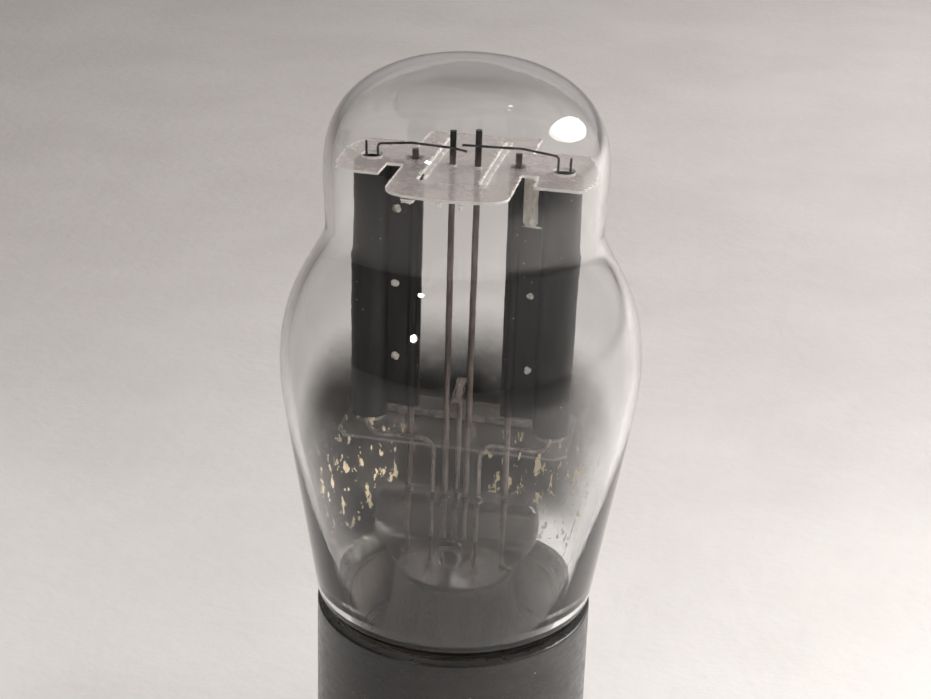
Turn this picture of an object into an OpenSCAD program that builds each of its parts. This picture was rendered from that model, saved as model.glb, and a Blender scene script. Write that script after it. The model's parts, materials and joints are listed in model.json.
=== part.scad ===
// Glass full-wave rectifier tube with a shouldered bulb and a four-pin base.
// The origin is under the tube at the level of the pin tips, and +Z runs up its axis.
// The two anodes stand along X. The filament pins are on the -Y side, which is the front.

/* [Base] */
// Outside diameter of the base shell
base_d = 34.9; // [32:0.1:42]
// Height of the base shell
base_h = 28; // [23:0.5:34]
// Wall of the base shell
base_wall = 1.9; // [1.5:0.1:2.3]
// Thickness of the base floor
base_floor = 2.4; // [2:0.1:4]

/* [Pins] */
// Diameter of the two filament pins
large_pin_d = 3.96; // [3.3:0.01:4.8]
// Diameter of the two anode pins
small_pin_d = 3.18; // [2.6:0.01:3.9]
// Length of the pins below the base
pin_len = 15.9; // [13:0.1:19.1]
// Spacing of the two pins in each row
pin_pitch = 11.1; // [9.2:0.01:13.4]
// Distance between the filament row and the anode row
pin_rows = 11.91; // [9.9:0.01:14.3]

/* [Bulb] */
// Greatest diameter of the bulb
bulge_d = 44.1; // [36.7:0.1:53]
// Height of the greatest diameter above the base rim
bulge_level = 33; // [27.5:0.5:40]
// Height of the rounded crown
crown_h = 13.1; // [10.9:0.1:15.7]
// Thickness of the bulb's glass
glass_wall = 1.15; // [0.9:0.05:1.4]

/* [Stem] */
// Height of the top of the glass press above the base rim
press_top = 14.5; // [12:0.1:17.4]
// Height of the press's flat part
slab_h = 6; // [5:0.1:7.2]
// Thickness of the press, front to back
press_t = 4.6; // [3.8:0.1:5.5]

/* [Anodes] */
// Distance between the middles of the two round parts
anode_pitch = 23; // [19.1:0.1:27.6]
// Outside diameter of the round part of an anode
anode_d = 4.6; // [3.8:0.1:5.6]
// Length of an anode
anode_len = 32.7; // [27.2:0.1:39.3]
// Width of a wing, from the round part to its free edge
wing_w = 4.05; // [3.3:0.05:4.9]
// Thickness of the anode sheet
sheet_t = 0.22; // [0.18:0.01:0.27]
// Gap between the press and the anodes
anode_rise = 10.1; // [8.4:0.1:12.2]

/* [Micas] */
// Thickness of the mica sheets
mica_t = 0.35; // [0.25:0.05:0.45]
// Width of the top mica's middle panel
panel_w = 14.05; // [13.6:0.05:14.6]
// Depth of the end tabs, front to back
tab_depth = 13; // [11:0.1:15]

/* [Rods and wires] */
// Diameter of the support rods
rod_d = 0.8; // [0.66:0.02:0.96]
// Diameter of the lead wires
lead_d = 0.6; // [0.5:0.02:0.72]
// Diameter of the spring hook wire
hook_d = 0.3; // [0.24:0.01:0.36]
// Diameter of the coated filament
filament_d = 0.3; // [0.24:0.01:0.36]

/* [Hidden] */

$fn = 96;

// Colours
bakelite = "#17161a";
cement_brown = "#5b4636";
plated = "#b9b6ae";
tin = "#8f9296";
glass = [0.82, 0.85, 0.86, 0.25];
carbon = "#1b1a1b";
nickel = "#8c8780";
bright_nickel = "#d8d4cc";
mica_grey = [0.78, 0.74, 0.72, 0.6];
spring_grey = "#4b4744";
oxide_white = "#d9d6cf";

// Levels, above the base rim
rim_z = pin_len + base_h;
slab_low = press_top - slab_h;
press_low = slab_low - 4.5;
wire_foot = slab_low;
anode_low = press_top + anode_rise;
anode_top = anode_low + anode_len;
mica_level = anode_top + 0.6;
bottom_mica_top = anode_low - 0.4;
lead_turn = anode_low - 2.5;
flank_z = bulge_level - 7;
waist_z = mica_level - 7.4;
dome_z = mica_level - 0.9;
bulb_h = dome_z + crown_h;

// Bulb and stem
shell_ri = base_d / 2 - base_wall;
cement_t = 0.95;
neck_r = shell_ri - cement_t;
neck_depth = 12;
neck_top = -1.6;
shoulder_r = base_d / 2 + 0.05;
shoulder_z = 2.2;
bulge_r = bulge_d / 2;
flank_r = bulge_r - 0.7;
shoulder_pull = 1.83;
waist_pull = 0.69;
dome_power = 2.5;
flare_lip = 1.2;
stem_wall = 1.1;
press_margin = 4.35;
exhaust_r = 2.1;
exhaust_bore = 1.3;
exhaust_len = 15;
port_r = 1.6;
port_z = (press_low + slab_low) / 2 + 0.8;

// Inside parts, from the tube's axis
anode_x = anode_pitch / 2;
anode_r = anode_d / 2;
tab_margin = 1.8;
mica_play = 0.1;
mica_reach = anode_x + anode_r + tab_margin;
dome_ri = mica_reach + mica_play;
dome_r = dome_ri + glass_wall;
waist_r = dome_r - 0.25;
wing_edge = anode_x - anode_r - wing_w;
wing_gap = 0.08;
wing_t = 2 * sheet_t + wing_gap;
wing_lift = 1.3;
rod_r = rod_d / 2;
lead_r = lead_d / 2;
hook_r = hook_d / 2;
filament_r = filament_d / 2;
anode_rod_x = wing_edge + 1;
stem_play = 0.2;
stem_r = anode_rod_x + lead_r + stem_play + stem_wall;
centre_rod_x = 1.5;
centre_rod_foot = 1.35;
centre_rod_y = -0.9;
rod_play = 0.06;
centre_rod_tops = [4.3, 4.6];
weld_r = 0.45;
weld_t = 0.07;
weld_x = anode_x - anode_r - 0.9;
low_weld_rise = 7.85;
top_weld_drop = 5.56;
low_weld = anode_low + low_weld_rise;
top_weld = anode_top - top_weld_drop;
weld_levels = [low_weld, (low_weld + top_weld) / 2, top_weld];
strap_w = 1.75;
strap_t = 0.18;
strap_x = weld_x - strap_w + weld_r;
strap_tail = 0.75;
strap_foot = top_weld - strap_tail;

// Mica outlines
tooth = 0.35;
tooth_count = 15;
panel_front = 13.7;
panel_back = 12.4;
panel_corner = 2.4;
notch_front = 2.8;
notch_back = 5.4;
tab_inner = max(anode_x - 2.5, panel_w / 2 + 0.4);
tab_hole_r = 1.33;
slot_w = 0.85;
slot_len = 17.5;
slot_y = 1;
slot_share = 0.44;
slot_shift = -0.2;
strip_end = anode_x + 2.7;
leg_hole_r = 1.9;

// Spring hooks and filaments
hook_half = 0.72;
hook_drop = 2;
hook_past = 1.8;
stub_rise = 1.75;
arm_rise = 1.5;
arm_weld_y = centre_rod_y - rod_r - hook_r;
arm_weld_rises = [2.3, 2.8];
filament_leg = 0.9;
filament_low = bottom_mica_top + 0.25 + filament_r;
filament_top = mica_level - hook_drop + hook_r + filament_r;
riser_y = -filament_leg - filament_r - lead_r;
lead_x = centre_rod_foot + 1.55;
link_w = 1.8;
link_t = 0.2;
link_y = 0.6;
getter_y = 0.2;
getter_low = anode_low + 2.4;
getter_size = [1.5, 0.9, 3.4];
getter_wall = 0.2;

// Pins
pin_tip = 0.9;
pin_wall = 0.42;
pin_hole_r = 0.62;
pin_collar = 0.6;
shank_step = 0.2;
shank_gap = 0.4;
solder_dip = 0.12;
solder_len = 3;
tail_start = 3;
tail_turn = -base_h + base_floor + 6;
tail_end = 0.8;

// Points along a smooth curve from a to b, which leaves along pull_a and arrives along pull_b
function curve(a, pull_a, b, pull_b, steps) = [
    for (k = [0 : steps - 1]) let (t = k / steps)
        (2 * t * t * t - 3 * t * t + 1) * a + (t * t * t - 2 * t * t + t) * pull_a
        + (3 * t * t - 2 * t * t * t) * b + (t * t * t - t * t) * pull_b
];

// Points along an arc
function arc(centre, r, from, to, steps) = [
    for (k = [0 : steps]) let (a = from + (to - from) * k / steps)
        centre + r * [cos(a), sin(a)]
];

function unit(v) = v / norm(v);

// Tangent of an open line of points at point i
function along(points, i) = unit(
    points[min(i + 1, len(points) - 1)] - points[max(i - 1, 0)]
);

// An open outline, moved to its left by a distance
function inset(points, distance) = [
    for (i = [0 : len(points) - 1]) let (t = along(points, i))
        points[i] + distance * [-t[1], t[0]]
];

function reversed(points) = [for (i = [len(points) - 1 : -1 : 0]) points[i]];

// Corners of a wire's route, rounded off
function rounded(points, r, steps = 4) = [
    points[0],
    for (i = [1 : len(points) - 2])
        let (
            a = points[i] + r * unit(points[i - 1] - points[i]),
            b = points[i] + r * unit(points[i + 1] - points[i])
        )
        for (k = [0 : steps]) let (t = k / steps)
            (1 - t) * (1 - t) * a + 2 * t * (1 - t) * points[i] + t * t * b,
    points[len(points) - 1]
];

// A round wire along a route. side is a direction that no part of the route takes.
module wire(route, r, side = [0, 1, 0], sides = 8) {
    last = len(route) - 1;
    rings = [
        for (i = [0 : last])
            let (t = along(route, i), b = unit(cross(t, side)), n = cross(b, t))
            for (j = [0 : sides - 1]) let (a = 360 * j / sides)
                route[i] + r * (cos(a) * n + sin(a) * b)
    ];
    walls = [
        for (i = [0 : last - 1]) for (j = [0 : sides - 1]) let (k = (j + 1) % sides)
            [i * sides + j, i * sides + k, (i + 1) * sides + k, (i + 1) * sides + j]
    ];
    first_cap = [for (j = [sides - 1 : -1 : 0]) j];
    last_cap = [for (j = [0 : sides - 1]) last * sides + j];
    polyhedron(points = rings, faces = concat([first_cap], walls, [last_cap]));
}

// The outside of the bulb, from the foot of the neck to the crown
function bulb_outline() = concat(
    [[neck_r, -neck_depth]],
    curve([neck_r, neck_top], [0, 2.2], [shoulder_r, shoulder_z], [0.6, 3.6], 8),
    [[shoulder_r, shoulder_z]],
    curve([flank_r, flank_z], [1.2, 7.4], [bulge_r, bulge_level], [0, 7], 6),
    curve([bulge_r, bulge_level], [0, shoulder_pull * (waist_z - bulge_level)],
          [waist_r, waist_z], [0, waist_pull * (waist_z - bulge_level)], 22),
    curve([waist_r, waist_z], [0, 6], [dome_r, dome_z], [0, 6], 6),
    [for (k = [0 : 21]) let (a = 90 * k / 21)
        [dome_r * pow(cos(a), 2 / dome_power),
         dome_z + (bulb_h - dome_z) * pow(sin(a), 2 / dome_power)]]
);

// The upper face of the stem's flare, from its lip to the press
function flare_outline() = concat(
    [[neck_r - glass_wall, -neck_depth], [neck_r - glass_wall, -neck_depth + flare_lip]],
    curve([neck_r - glass_wall - 0.6, -neck_depth + flare_lip + 0.2], [-9, 1],
          [stem_r, press_low], [0, 14], 14),
    [[stem_r, press_low]]
);

// Half of the top mica's outline, from the middle of its front edge to the middle of its back edge
function mica_half() = let (
    side = panel_w / 2,
    end = asin(tab_depth / 2 / mica_reach),
    bow = 1.2
) concat(
    [[0, -panel_front], [side - panel_corner, -panel_front + bow / 2]],
    arc([side - panel_corner, -panel_front + bow + panel_corner - 0.4], panel_corner, -75, 0, 6),
    [[side, -notch_front], [tab_inner, -notch_front], [tab_inner, -tab_depth / 2]],
    [for (k = [0 : 2 * tooth_count]) let (
        a = -end + 2 * end * k / (2 * tooth_count),
        r = k % 2 == 0 ? mica_reach - tooth : mica_reach
    ) r * [cos(a), sin(a)]],
    [[tab_inner, tab_depth / 2], [tab_inner, notch_back], [side, notch_back]],
    [[side, panel_back - 0.5], [side - 0.5, panel_back], [0, panel_back]]
);

module raise(z) {
    translate([0, 0, rim_z + z]) children();
}

// Puts what is drawn on the +X side on the side given: -1 for left, 1 for right
module on_side(side) {
    if (side > 0) children();
    else mirror([1, 0, 0]) children();
}

module base_shell() {
    edge = 0.8;
    color(bakelite)
    difference() {
        translate([0, 0, pin_len])
        rotate_extrude()
            polygon([
                [0, 0], [base_d / 2 - edge, 0], [base_d / 2, edge],
                [base_d / 2, base_h - 0.3], [base_d / 2 - 0.3, base_h], [shell_ri + 0.75, base_h],
                [shell_ri, base_h - 1.8], [shell_ri, base_floor + edge],
                [shell_ri - edge, base_floor], [0, base_floor]
            ]);
        pin_places() translate([0, 0, pin_len - 1])
            cylinder(r = $pin_d / 2 - shank_step, h = base_floor + 2);
    }
}

module base_cement() {
    color(cement_brown)
    raise(-9)
    rotate_extrude()
        translate([neck_r, 0]) square([cement_t, 9 + neck_top - 0.1]);
}

// The four pin positions: filament pins at the front, anode pins at the back
module pin_places() {
    for (side = [-1, 1]) {
        $pin_d = large_pin_d;
        translate([side * pin_pitch / 2, -pin_rows / 2, 0]) children();
    }
    for (side = [-1, 1]) {
        $pin_d = small_pin_d;
        translate([side * pin_pitch / 2, pin_rows / 2, 0]) children();
    }
}

// The pin's full width ends just below the base, and a narrower shank goes on through the floor
module pin(side, row, d) {
    r = d / 2;
    shank_r = r - shank_step;
    top = pin_len + base_floor;
    color(plated)
    translate([side * pin_pitch / 2, row * pin_rows / 2, 0])
    rotate_extrude()
        polygon(concat(
            [[pin_hole_r, 0]],
            arc([r - pin_tip, pin_tip], pin_tip, -90, 0, 6),
            [[r, pin_len - shank_gap], [shank_r, pin_len - shank_gap], [shank_r, top],
             [r + pin_collar, top], [r + pin_collar, top + 0.7],
             [r + 0.1, top + 1.1], [r - pin_wall, top + 1.1],
             [r - pin_wall, pin_tip + pin_wall], [pin_hole_r, pin_wall]]
        ));
}

module left_filament_pin() { pin(-1, -1, large_pin_d); }
module right_filament_pin() { pin(1, -1, large_pin_d); }
module left_anode_pin() { pin(-1, 1, small_pin_d); }
module right_anode_pin() { pin(1, 1, small_pin_d); }

module pin_solder() {
    color(tin)
    pin_places()
    rotate_extrude()
        polygon([
            [0, solder_dip], [pin_hole_r, solder_dip], [pin_hole_r, pin_wall],
            [$pin_d / 2 - pin_wall, pin_tip + pin_wall], [$pin_d / 2 - pin_wall, solder_len],
            [lead_r, solder_len + 0.3], [lead_r, tail_end], [0, tail_end]
        ]);
}

module bulb() {
    outside = bulb_outline();
    inside = inset(outside, glass_wall);
    last = len(outside) - 1;
    color(glass)
    raise(0)
    rotate_extrude()
        polygon(concat(
            [for (i = [0 : last - 1]) outside[i]],
            [[0, bulb_h], [0, bulb_h - glass_wall]],
            [for (i = [last - 1 : -1 : 0]) inside[i]]
        ));
}

module stem_flare() {
    upper = flare_outline();
    lower = inset([for (i = [2 : len(upper) - 1]) upper[i]], stem_wall);
    color(glass)
    raise(0)
    rotate_extrude()
        polygon(concat(
            upper,
            [[stem_r - stem_wall, press_low]],
            reversed([for (i = [0 : len(lower) - 2]) lower[i]]),
            [[neck_r - glass_wall - 0.6, -neck_depth]]
        ));
}

// Everything that is sealed into the press, as drilled holes
module press_wires() {
    for (side = [-1, 1]) {
        translate([side * anode_rod_x, 0, wire_foot]) cylinder(r = rod_r, h = press_top);
        translate([side * centre_rod_foot, centre_rod_y, wire_foot]) cylinder(r = rod_r, h = press_top);
        translate([side * lead_x, centre_rod_y, wire_foot]) cylinder(r = lead_r, h = press_top);
        translate([side * anode_rod_x, 0, 0]) cylinder(r = lead_r + 0.02, h = wire_foot + 0.01);
        translate([side * lead_x, centre_rod_y, 0]) cylinder(r = lead_r + 0.02, h = wire_foot + 0.01);
    }
    translate([0, getter_y, wire_foot]) cylinder(r = lead_r, h = press_top);
}

module stem_press() {
    half_w = anode_rod_x + press_margin;
    color(glass)
    raise(0)
    difference() {
        hull() {
            translate([0, 0, press_low]) cylinder(r = stem_r, h = 0.6, $fn = 32);
            for (side = [-1, 1])
                translate([side * (half_w - press_t / 2), 0, slab_low])
                    cylinder(d = press_t, h = slab_h - 0.8, $fn = 32);
            translate([0, 0, press_top - 0.2])
                cube([2 * half_w - 3, press_t - 1.6, 0.4], center = true);
        }
        press_wires();
        translate([0, -stem_r, port_z]) rotate([-90, 0, 0]) cylinder(r = port_r, h = stem_r - 1.8);
    }
}

module exhaust_tube() {
    color(glass)
    raise(press_low - exhaust_len)
    rotate_extrude()
        polygon(concat(
            [[0, -exhaust_r]],
            arc([0, 0], exhaust_r, -75, 0, 6),
            [[exhaust_r, exhaust_len], [exhaust_bore, exhaust_len], [exhaust_bore, 0.6], [0, -0.6]]
        ));
}

// An anode folded from one sheet: a round part and two plies that grip the support rod
module anode(side) {
    wing_len = anode_x - wing_edge;
    grip_r = rod_r + sheet_t;
    color(carbon)
    on_side(side) raise(anode_low)
    difference() {
        linear_extrude(height = anode_top - anode_low)
        difference() {
            union() {
                translate([anode_x, 0]) circle(r = anode_r);
                translate([wing_edge, -wing_t / 2]) square([wing_len, wing_t]);
                translate([anode_rod_x, 0]) circle(r = grip_r);
            }
            translate([anode_x, 0]) circle(r = anode_r - sheet_t);
            translate([wing_edge - 1, -wing_gap / 2]) square([wing_len + 1, wing_gap]);
            translate([anode_rod_x, 0]) circle(r = rod_r);
        }
        translate([wing_edge - 1, -1.5, -1]) cube([wing_len - anode_r + 1.05, 3, 1 + wing_lift]);
    }
}

module left_anode() { anode(-1); }
module right_anode() { anode(1); }

// Spot welds on both faces of a wing. The top front one sits on the strap.
module anode_welds(side) {
    color(bright_nickel)
    on_side(side) raise(0)
    for (level = weld_levels, face = [-1, 1]) {
        on_strap = face < 0 && level == top_weld;
        face_y = wing_t / 2 + (on_strap ? strap_t : 0);
        translate([weld_x, face * face_y, level])
            rotate([-90 * face, 0, 0]) cylinder(r = weld_r, h = weld_t, $fn = 24);
    }
}

module left_anode_welds() { anode_welds(-1); }
module right_anode_welds() { anode_welds(1); }

module anode_strap(side) {
    color(bright_nickel)
    on_side(side) raise(strap_foot)
    translate([strap_x, -wing_t / 2 - strap_t, 0])
    difference() {
        cube([strap_w, strap_t, mica_level - mica_t / 2 - strap_foot]);
        for (corner = [0, strap_w])
            translate([corner, strap_t / 2, 0]) rotate([0, 45, 0])
                cube([0.7, 2, 0.7], center = true);
    }
}

module left_anode_strap() { anode_strap(-1); }
module right_anode_strap() { anode_strap(1); }

module anode_rod(side) {
    top = mica_level + (side < 0 ? 1.3 : 1.8);
    color(nickel)
    raise(wire_foot)
    translate([side * anode_rod_x, 0, 0]) cylinder(r = rod_r, h = top - wire_foot);
}

module left_anode_rod() { anode_rod(-1); }
module right_anode_rod() { anode_rod(1); }

// A centre rod stands upright in the press and leans outwards above it
module centre_rod(side) {
    top = mica_level + centre_rod_tops[side < 0 ? 0 : 1];
    color(nickel)
    raise(0)
    wire([
        [side * centre_rod_foot, centre_rod_y, wire_foot],
        [side * centre_rod_foot, centre_rod_y, press_top],
        [side * centre_rod_foot, centre_rod_y, press_top + 1],
        [side * centre_rod_x, centre_rod_y, mica_level - 2],
        [side * centre_rod_x, centre_rod_y, top]
    ], rod_r - 0.01, sides = 12);
}

module left_centre_rod() { centre_rod(-1); }
module right_centre_rod() { centre_rod(1); }

module top_mica() {
    half = mica_half();
    slot_x = centre_rod_x + slot_share * (anode_rod_x - centre_rod_x);
    color(mica_grey)
    raise(mica_level - mica_t / 2)
    linear_extrude(height = mica_t)
    difference() {
        polygon(concat(half, [for (p = reversed(half)) [-p[0], p[1]]]));
        for (side = [-1, 1]) {
            translate([side * anode_x, 0]) circle(r = tab_hole_r);
            translate([side * anode_rod_x, 0]) circle(r = rod_r + rod_play);
            translate([side * centre_rod_x, centre_rod_y]) circle(r = rod_r + rod_play);
            translate([side * slot_x + slot_shift, slot_y]) square([slot_w, slot_len], center = true);
        }
    }
}

module bottom_mica() {
    cut = 1.4;
    end = strip_end;
    side_y = tab_depth / 2;
    color(mica_grey)
    raise(bottom_mica_top - mica_t)
    linear_extrude(height = mica_t)
    difference() {
        polygon([
            [end, -side_y + cut], [end, side_y - cut], [end - cut, side_y], [-end + cut, side_y],
            [-end, side_y - cut], [-end, -side_y + cut], [-end + cut, -side_y], [end - cut, -side_y]
        ]);
        for (side = [-1, 1]) {
            translate([side * anode_x, 0]) circle(r = leg_hole_r);
            translate([side * anode_rod_x, 0]) circle(r = rod_r + rod_play);
            translate([side * (centre_rod_foot + centre_rod_x) / 2, centre_rod_y])
                circle(r = rod_r + 2 * rod_play);
        }
        translate([0, getter_y]) circle(r = lead_r + rod_play);
    }
}

// A hook hangs in the mica's hole and its springy arm is welded to the front of a centre rod
module spring_hook(side) {
    rod = side < 0 ? 0 : 1;
    top = mica_level + arm_rise + 0.35 * rod;
    weld_z = mica_level + arm_weld_rises[rod];
    low = mica_level - hook_drop;
    bow_z = (top + weld_z) / 2 + 0.35;
    color(spring_grey)
    on_side(side) raise(0)
    wire(rounded([
        [anode_x + hook_half, 0, mica_level + stub_rise],
        [anode_x + hook_half, 0, low],
        [anode_x - hook_half, 0, low],
        [anode_x - hook_half, 0, top],
        [(anode_x + centre_rod_x) / 2, arm_weld_y / 2, bow_z],
        [centre_rod_x, arm_weld_y, weld_z],
        [centre_rod_x - hook_past, arm_weld_y - 0.15, weld_z - 0.25 * (1 - rod)]
    ], 0.5), hook_r, side = [0.05, 1, 0.02]);
}

module left_spring_hook() { spring_hook(-1); }
module right_spring_hook() { spring_hook(1); }

// An inverted V that hangs from the hook, with one leg behind and one in front
module filament(side) {
    color(oxide_white)
    on_side(side) raise(0)
    wire(rounded([
        [anode_x, filament_leg, filament_low],
        [anode_x, 0.3, filament_top],
        [anode_x, -0.3, filament_top],
        [anode_x, -filament_leg, filament_low]
    ], 0.2), filament_r, side = [1, 0, 0]);
}

module left_filament() { filament(-1); }
module right_filament() { filament(1); }

// A flat ribbon on the bottom mica that joins the back legs of the two filaments
module filament_link() {
    half = anode_x + 0.5;
    color(bright_nickel)
    raise(bottom_mica_top)
    translate([-half, link_y, 0]) cube([2 * half, link_w, link_t]);
}

module filament_lead(side) {
    color(nickel)
    on_side(side) raise(0)
    wire(rounded([
        [lead_x, centre_rod_y, wire_foot],
        [lead_x, centre_rod_y, lead_turn],
        [anode_x, riser_y, lead_turn],
        [anode_x, riser_y, anode_low + 0.6]
    ], 1.4), lead_r - 0.01, side = [0.3, 1, 0.05]);
}

module left_filament_lead() { filament_lead(-1); }
module right_filament_lead() { filament_lead(1); }

module getter_wire() {
    color(nickel)
    raise(wire_foot)
    translate([0, getter_y, 0]) cylinder(r = lead_r, h = getter_low + 2.4 - wire_foot, $fn = 32);
}

module getter_cup() {
    color(bright_nickel)
    raise(getter_low)
    translate([-getter_size[0] / 2, getter_y - lead_r - getter_size[1], 0])
    difference() {
        cube(getter_size);
        translate([getter_wall, -1, getter_wall])
            cube([
                getter_size[0] - 2 * getter_wall,
                1 + getter_size[1] - getter_wall,
                getter_size[2] - 2 * getter_wall
            ]);
    }
}

// A lead's lower end, from the press through the base and down a pin
module tail(side, row, from_x, from_y) {
    pin_x = pin_pitch / 2;
    pin_y = row * pin_rows / 2;
    color(nickel)
    on_side(side) raise(0)
    wire(rounded([
        [from_x, from_y, wire_foot - 0.05],
        [from_x, from_y, press_low - tail_start],
        [pin_x, pin_y, tail_turn],
        [pin_x, pin_y, -rim_z + tail_end]
    ], 1.5), lead_r - 0.02, side = [0.1, 1, 0]);
}

module left_filament_tail() { tail(-1, -1, lead_x, centre_rod_y); }
module right_filament_tail() { tail(1, -1, lead_x, centre_rod_y); }
module left_anode_tail() { tail(-1, 1, anode_rod_x, 0); }
module right_anode_tail() { tail(1, 1, anode_rod_x, 0); }

base_shell();
base_cement();
left_filament_pin();
right_filament_pin();
left_anode_pin();
right_anode_pin();
pin_solder();
bulb();
stem_flare();
stem_press();
exhaust_tube();
left_anode();
right_anode();
left_anode_welds();
right_anode_welds();
left_anode_strap();
right_anode_strap();
left_anode_rod();
right_anode_rod();
left_centre_rod();
right_centre_rod();
top_mica();
bottom_mica();
left_spring_hook();
right_spring_hook();
left_filament();
right_filament();
filament_link();
left_filament_lead();
right_filament_lead();
getter_wire();
getter_cup();
left_filament_tail();
right_filament_tail();
left_anode_tail();
right_anode_tail();
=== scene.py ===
"""Looks of a full-wave rectifier tube: shouldered glass bulb, smoky getter mirror, two black anodes.

Places are in millimetres from the tube's axis and from the rim of its base, and become metres in the
frame through at(). +X runs from the left anode to the right one, and -Y is the front.
"""

import json
import math
import random

import bmesh
import bpy
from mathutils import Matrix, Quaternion, Vector, noise

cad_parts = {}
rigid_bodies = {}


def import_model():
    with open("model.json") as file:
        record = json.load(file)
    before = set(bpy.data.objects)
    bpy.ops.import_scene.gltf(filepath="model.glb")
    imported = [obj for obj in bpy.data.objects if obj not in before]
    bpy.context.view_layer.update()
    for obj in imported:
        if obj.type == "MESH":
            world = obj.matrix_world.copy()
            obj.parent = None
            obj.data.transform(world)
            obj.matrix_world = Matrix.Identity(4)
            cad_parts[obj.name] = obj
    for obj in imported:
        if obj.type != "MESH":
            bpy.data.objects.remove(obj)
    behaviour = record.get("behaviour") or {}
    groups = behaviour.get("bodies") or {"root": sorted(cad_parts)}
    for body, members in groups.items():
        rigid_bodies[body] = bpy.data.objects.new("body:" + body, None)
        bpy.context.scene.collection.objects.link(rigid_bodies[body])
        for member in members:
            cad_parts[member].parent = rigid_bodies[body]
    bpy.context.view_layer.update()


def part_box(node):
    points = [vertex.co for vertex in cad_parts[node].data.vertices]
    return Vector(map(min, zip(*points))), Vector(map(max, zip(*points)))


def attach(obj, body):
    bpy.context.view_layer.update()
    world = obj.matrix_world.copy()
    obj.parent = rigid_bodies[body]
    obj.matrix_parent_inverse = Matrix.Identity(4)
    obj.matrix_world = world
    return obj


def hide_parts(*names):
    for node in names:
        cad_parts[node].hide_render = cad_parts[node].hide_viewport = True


for leftover in list(bpy.data.objects):
    bpy.data.objects.remove(leftover)

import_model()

MM = 0.001
BODY = "root"
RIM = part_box("base_shell")[1].z
SIDES = ((-1, "left"), (1, "right"))
CLEAR_SLOTS = ("bulb_glass", "stem_glass", "mica")


def levels_of(node):
    """The lower and the upper level of a solid, in millimetres above the rim."""
    return [(corner.z - RIM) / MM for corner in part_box(node)]


# Levels and sizes of the pieces, in millimetres, as the solids have them
ANODE_LOW, ANODE_TOP = levels_of("right_anode")
MICA_LOW, MICA_TOP = levels_of("top_mica")
MICA_MID = (MICA_LOW + MICA_TOP) / 2
STRIP_TOP = levels_of("bottom_mica")[1]
SHELL_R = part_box("base_shell")[1].x / MM
SHELL_H = -levels_of("base_shell")[0]
FLOOR_TOP = -SHELL_H + 2.4
PIN_FOOT = -RIM / MM
PIN_X = 5.55
PIN_Y = 5.955
PIN_WALL = 0.42
PIN_RADII = {-1: 1.98, 1: 1.59}
NECK_R = 14.6
NECK_FOOT = -12.0
GLASS_WALL = 1.15
DOME_FOOT = 57.0
CROWN_H = 13.1
STEM_R = 7.75
PRESS_LOW = 4.0
SLAB_LOW = 8.5
PRESS_TOP = 14.5
PORT_LEVEL = 7.05
MICA_REACH = 15.6
MICA_SIDE = 7.02
TAB_INNER = 9.0
SLOT_XS = (-3.746, 3.346)
SLOT_HALF_W = 0.42
SLOT_Y = (-7.75, 9.75)
ANODE_X = 11.5
ANODE_R = 2.3
ANODE_ROD_X = 6.15
CENTRE_ROD_X = 1.5
CENTRE_ROD_FOOT = 1.35
CENTRE_ROD_Y = -0.9
LEAD_X = 2.9
GETTER_Y = 0.2
ROD_R = 0.4
LEAD_R = 0.3
HOOK_R = 0.15


def at(x, y, z):
    """A place in the frame, from millimetres about the axis and above the rim."""
    return Vector((x * MM, y * MM, RIM + z * MM))


def smooth_step(low, high, value):
    """0 below low, 1 above high, and an even rise between them."""
    share = min(1.0, max(0.0, (value - low) / (high - low)))
    return share * share * (3 - 2 * share)


def pin_place(side, row):
    """A base pin's place: the filament pins are in row -1, the front, and the anode pins in 1."""
    return side * PIN_X, row * PIN_Y


# ---------------------------------------------------------------- node helpers


def add_node(tree, kind, inputs=None, settings=None):
    """Adds a node. An input that is a socket is linked, and any other value is set."""
    made = tree.nodes.new(kind)
    for name, value in (settings or {}).items():
        setattr(made, name, value)
    for name, value in (inputs or {}).items():
        if isinstance(value, bpy.types.NodeSocket):
            tree.links.new(value, made.inputs[name])
        else:
            made.inputs[name].default_value = value
    return made


SOCKET_KINDS = {float: "Float", int: "Int", tuple: "Color"}


def start_group(name, inputs, outputs, kind="ShaderNodeTree"):
    """A node group, the sockets that bring its inputs in and the ones that take its outputs.

    An input's kind follows from its default value, or is given as a word where it has none.
    """
    group = bpy.data.node_groups.new(name, kind)
    for label, value in inputs.items():
        bare = isinstance(value, str)
        word = value if bare else SOCKET_KINDS[type(value)]
        socket = group.interface.new_socket(label, in_out="INPUT", socket_type="NodeSocket" + word)
        if not bare:
            socket.default_value = value
    for label, word in outputs.items():
        group.interface.new_socket(label, in_out="OUTPUT", socket_type="NodeSocket" + word)
    entry, leave = group.nodes.new("NodeGroupInput"), group.nodes.new("NodeGroupOutput")
    return group, entry.outputs, leave.inputs


def calc(tree, operation, *values, clamp=False):
    """The result of a maths node."""
    settings = {"operation": operation, "use_clamp": clamp}
    return add_node(tree, "ShaderNodeMath", dict(enumerate(values)), settings).outputs[0]


def spread(tree, value, low, high, to_low=0.0, to_high=1.0, soft=False):
    """A value that lies from low to high, stretched to lie from to_low to to_high."""
    inputs = {"Value": value, "From Min": low, "From Max": high, "To Min": to_low,
              "To Max": to_high}
    settings = {"interpolation_type": "SMOOTHSTEP" if soft else "LINEAR"}
    return add_node(tree, "ShaderNodeMapRange", inputs, settings).outputs[0]


def mix_colours(tree, share, first, second):
    """The first colour where the share is 0, and the second where it is 1."""
    inputs = {"Factor": share, "A": first, "B": second}
    return add_node(tree, "ShaderNodeMix", inputs, {"data_type": "RGBA"}).outputs["Result"]


def clouds(tree, place, scale, detail, roughness=0.5):
    """Soft noise, mostly between 0.3 and 0.7."""
    inputs = {"Vector": place, "Scale": scale, "Detail": detail, "Roughness": roughness}
    return add_node(tree, "ShaderNodeTexNoise", inputs).outputs["Fac"]


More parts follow.
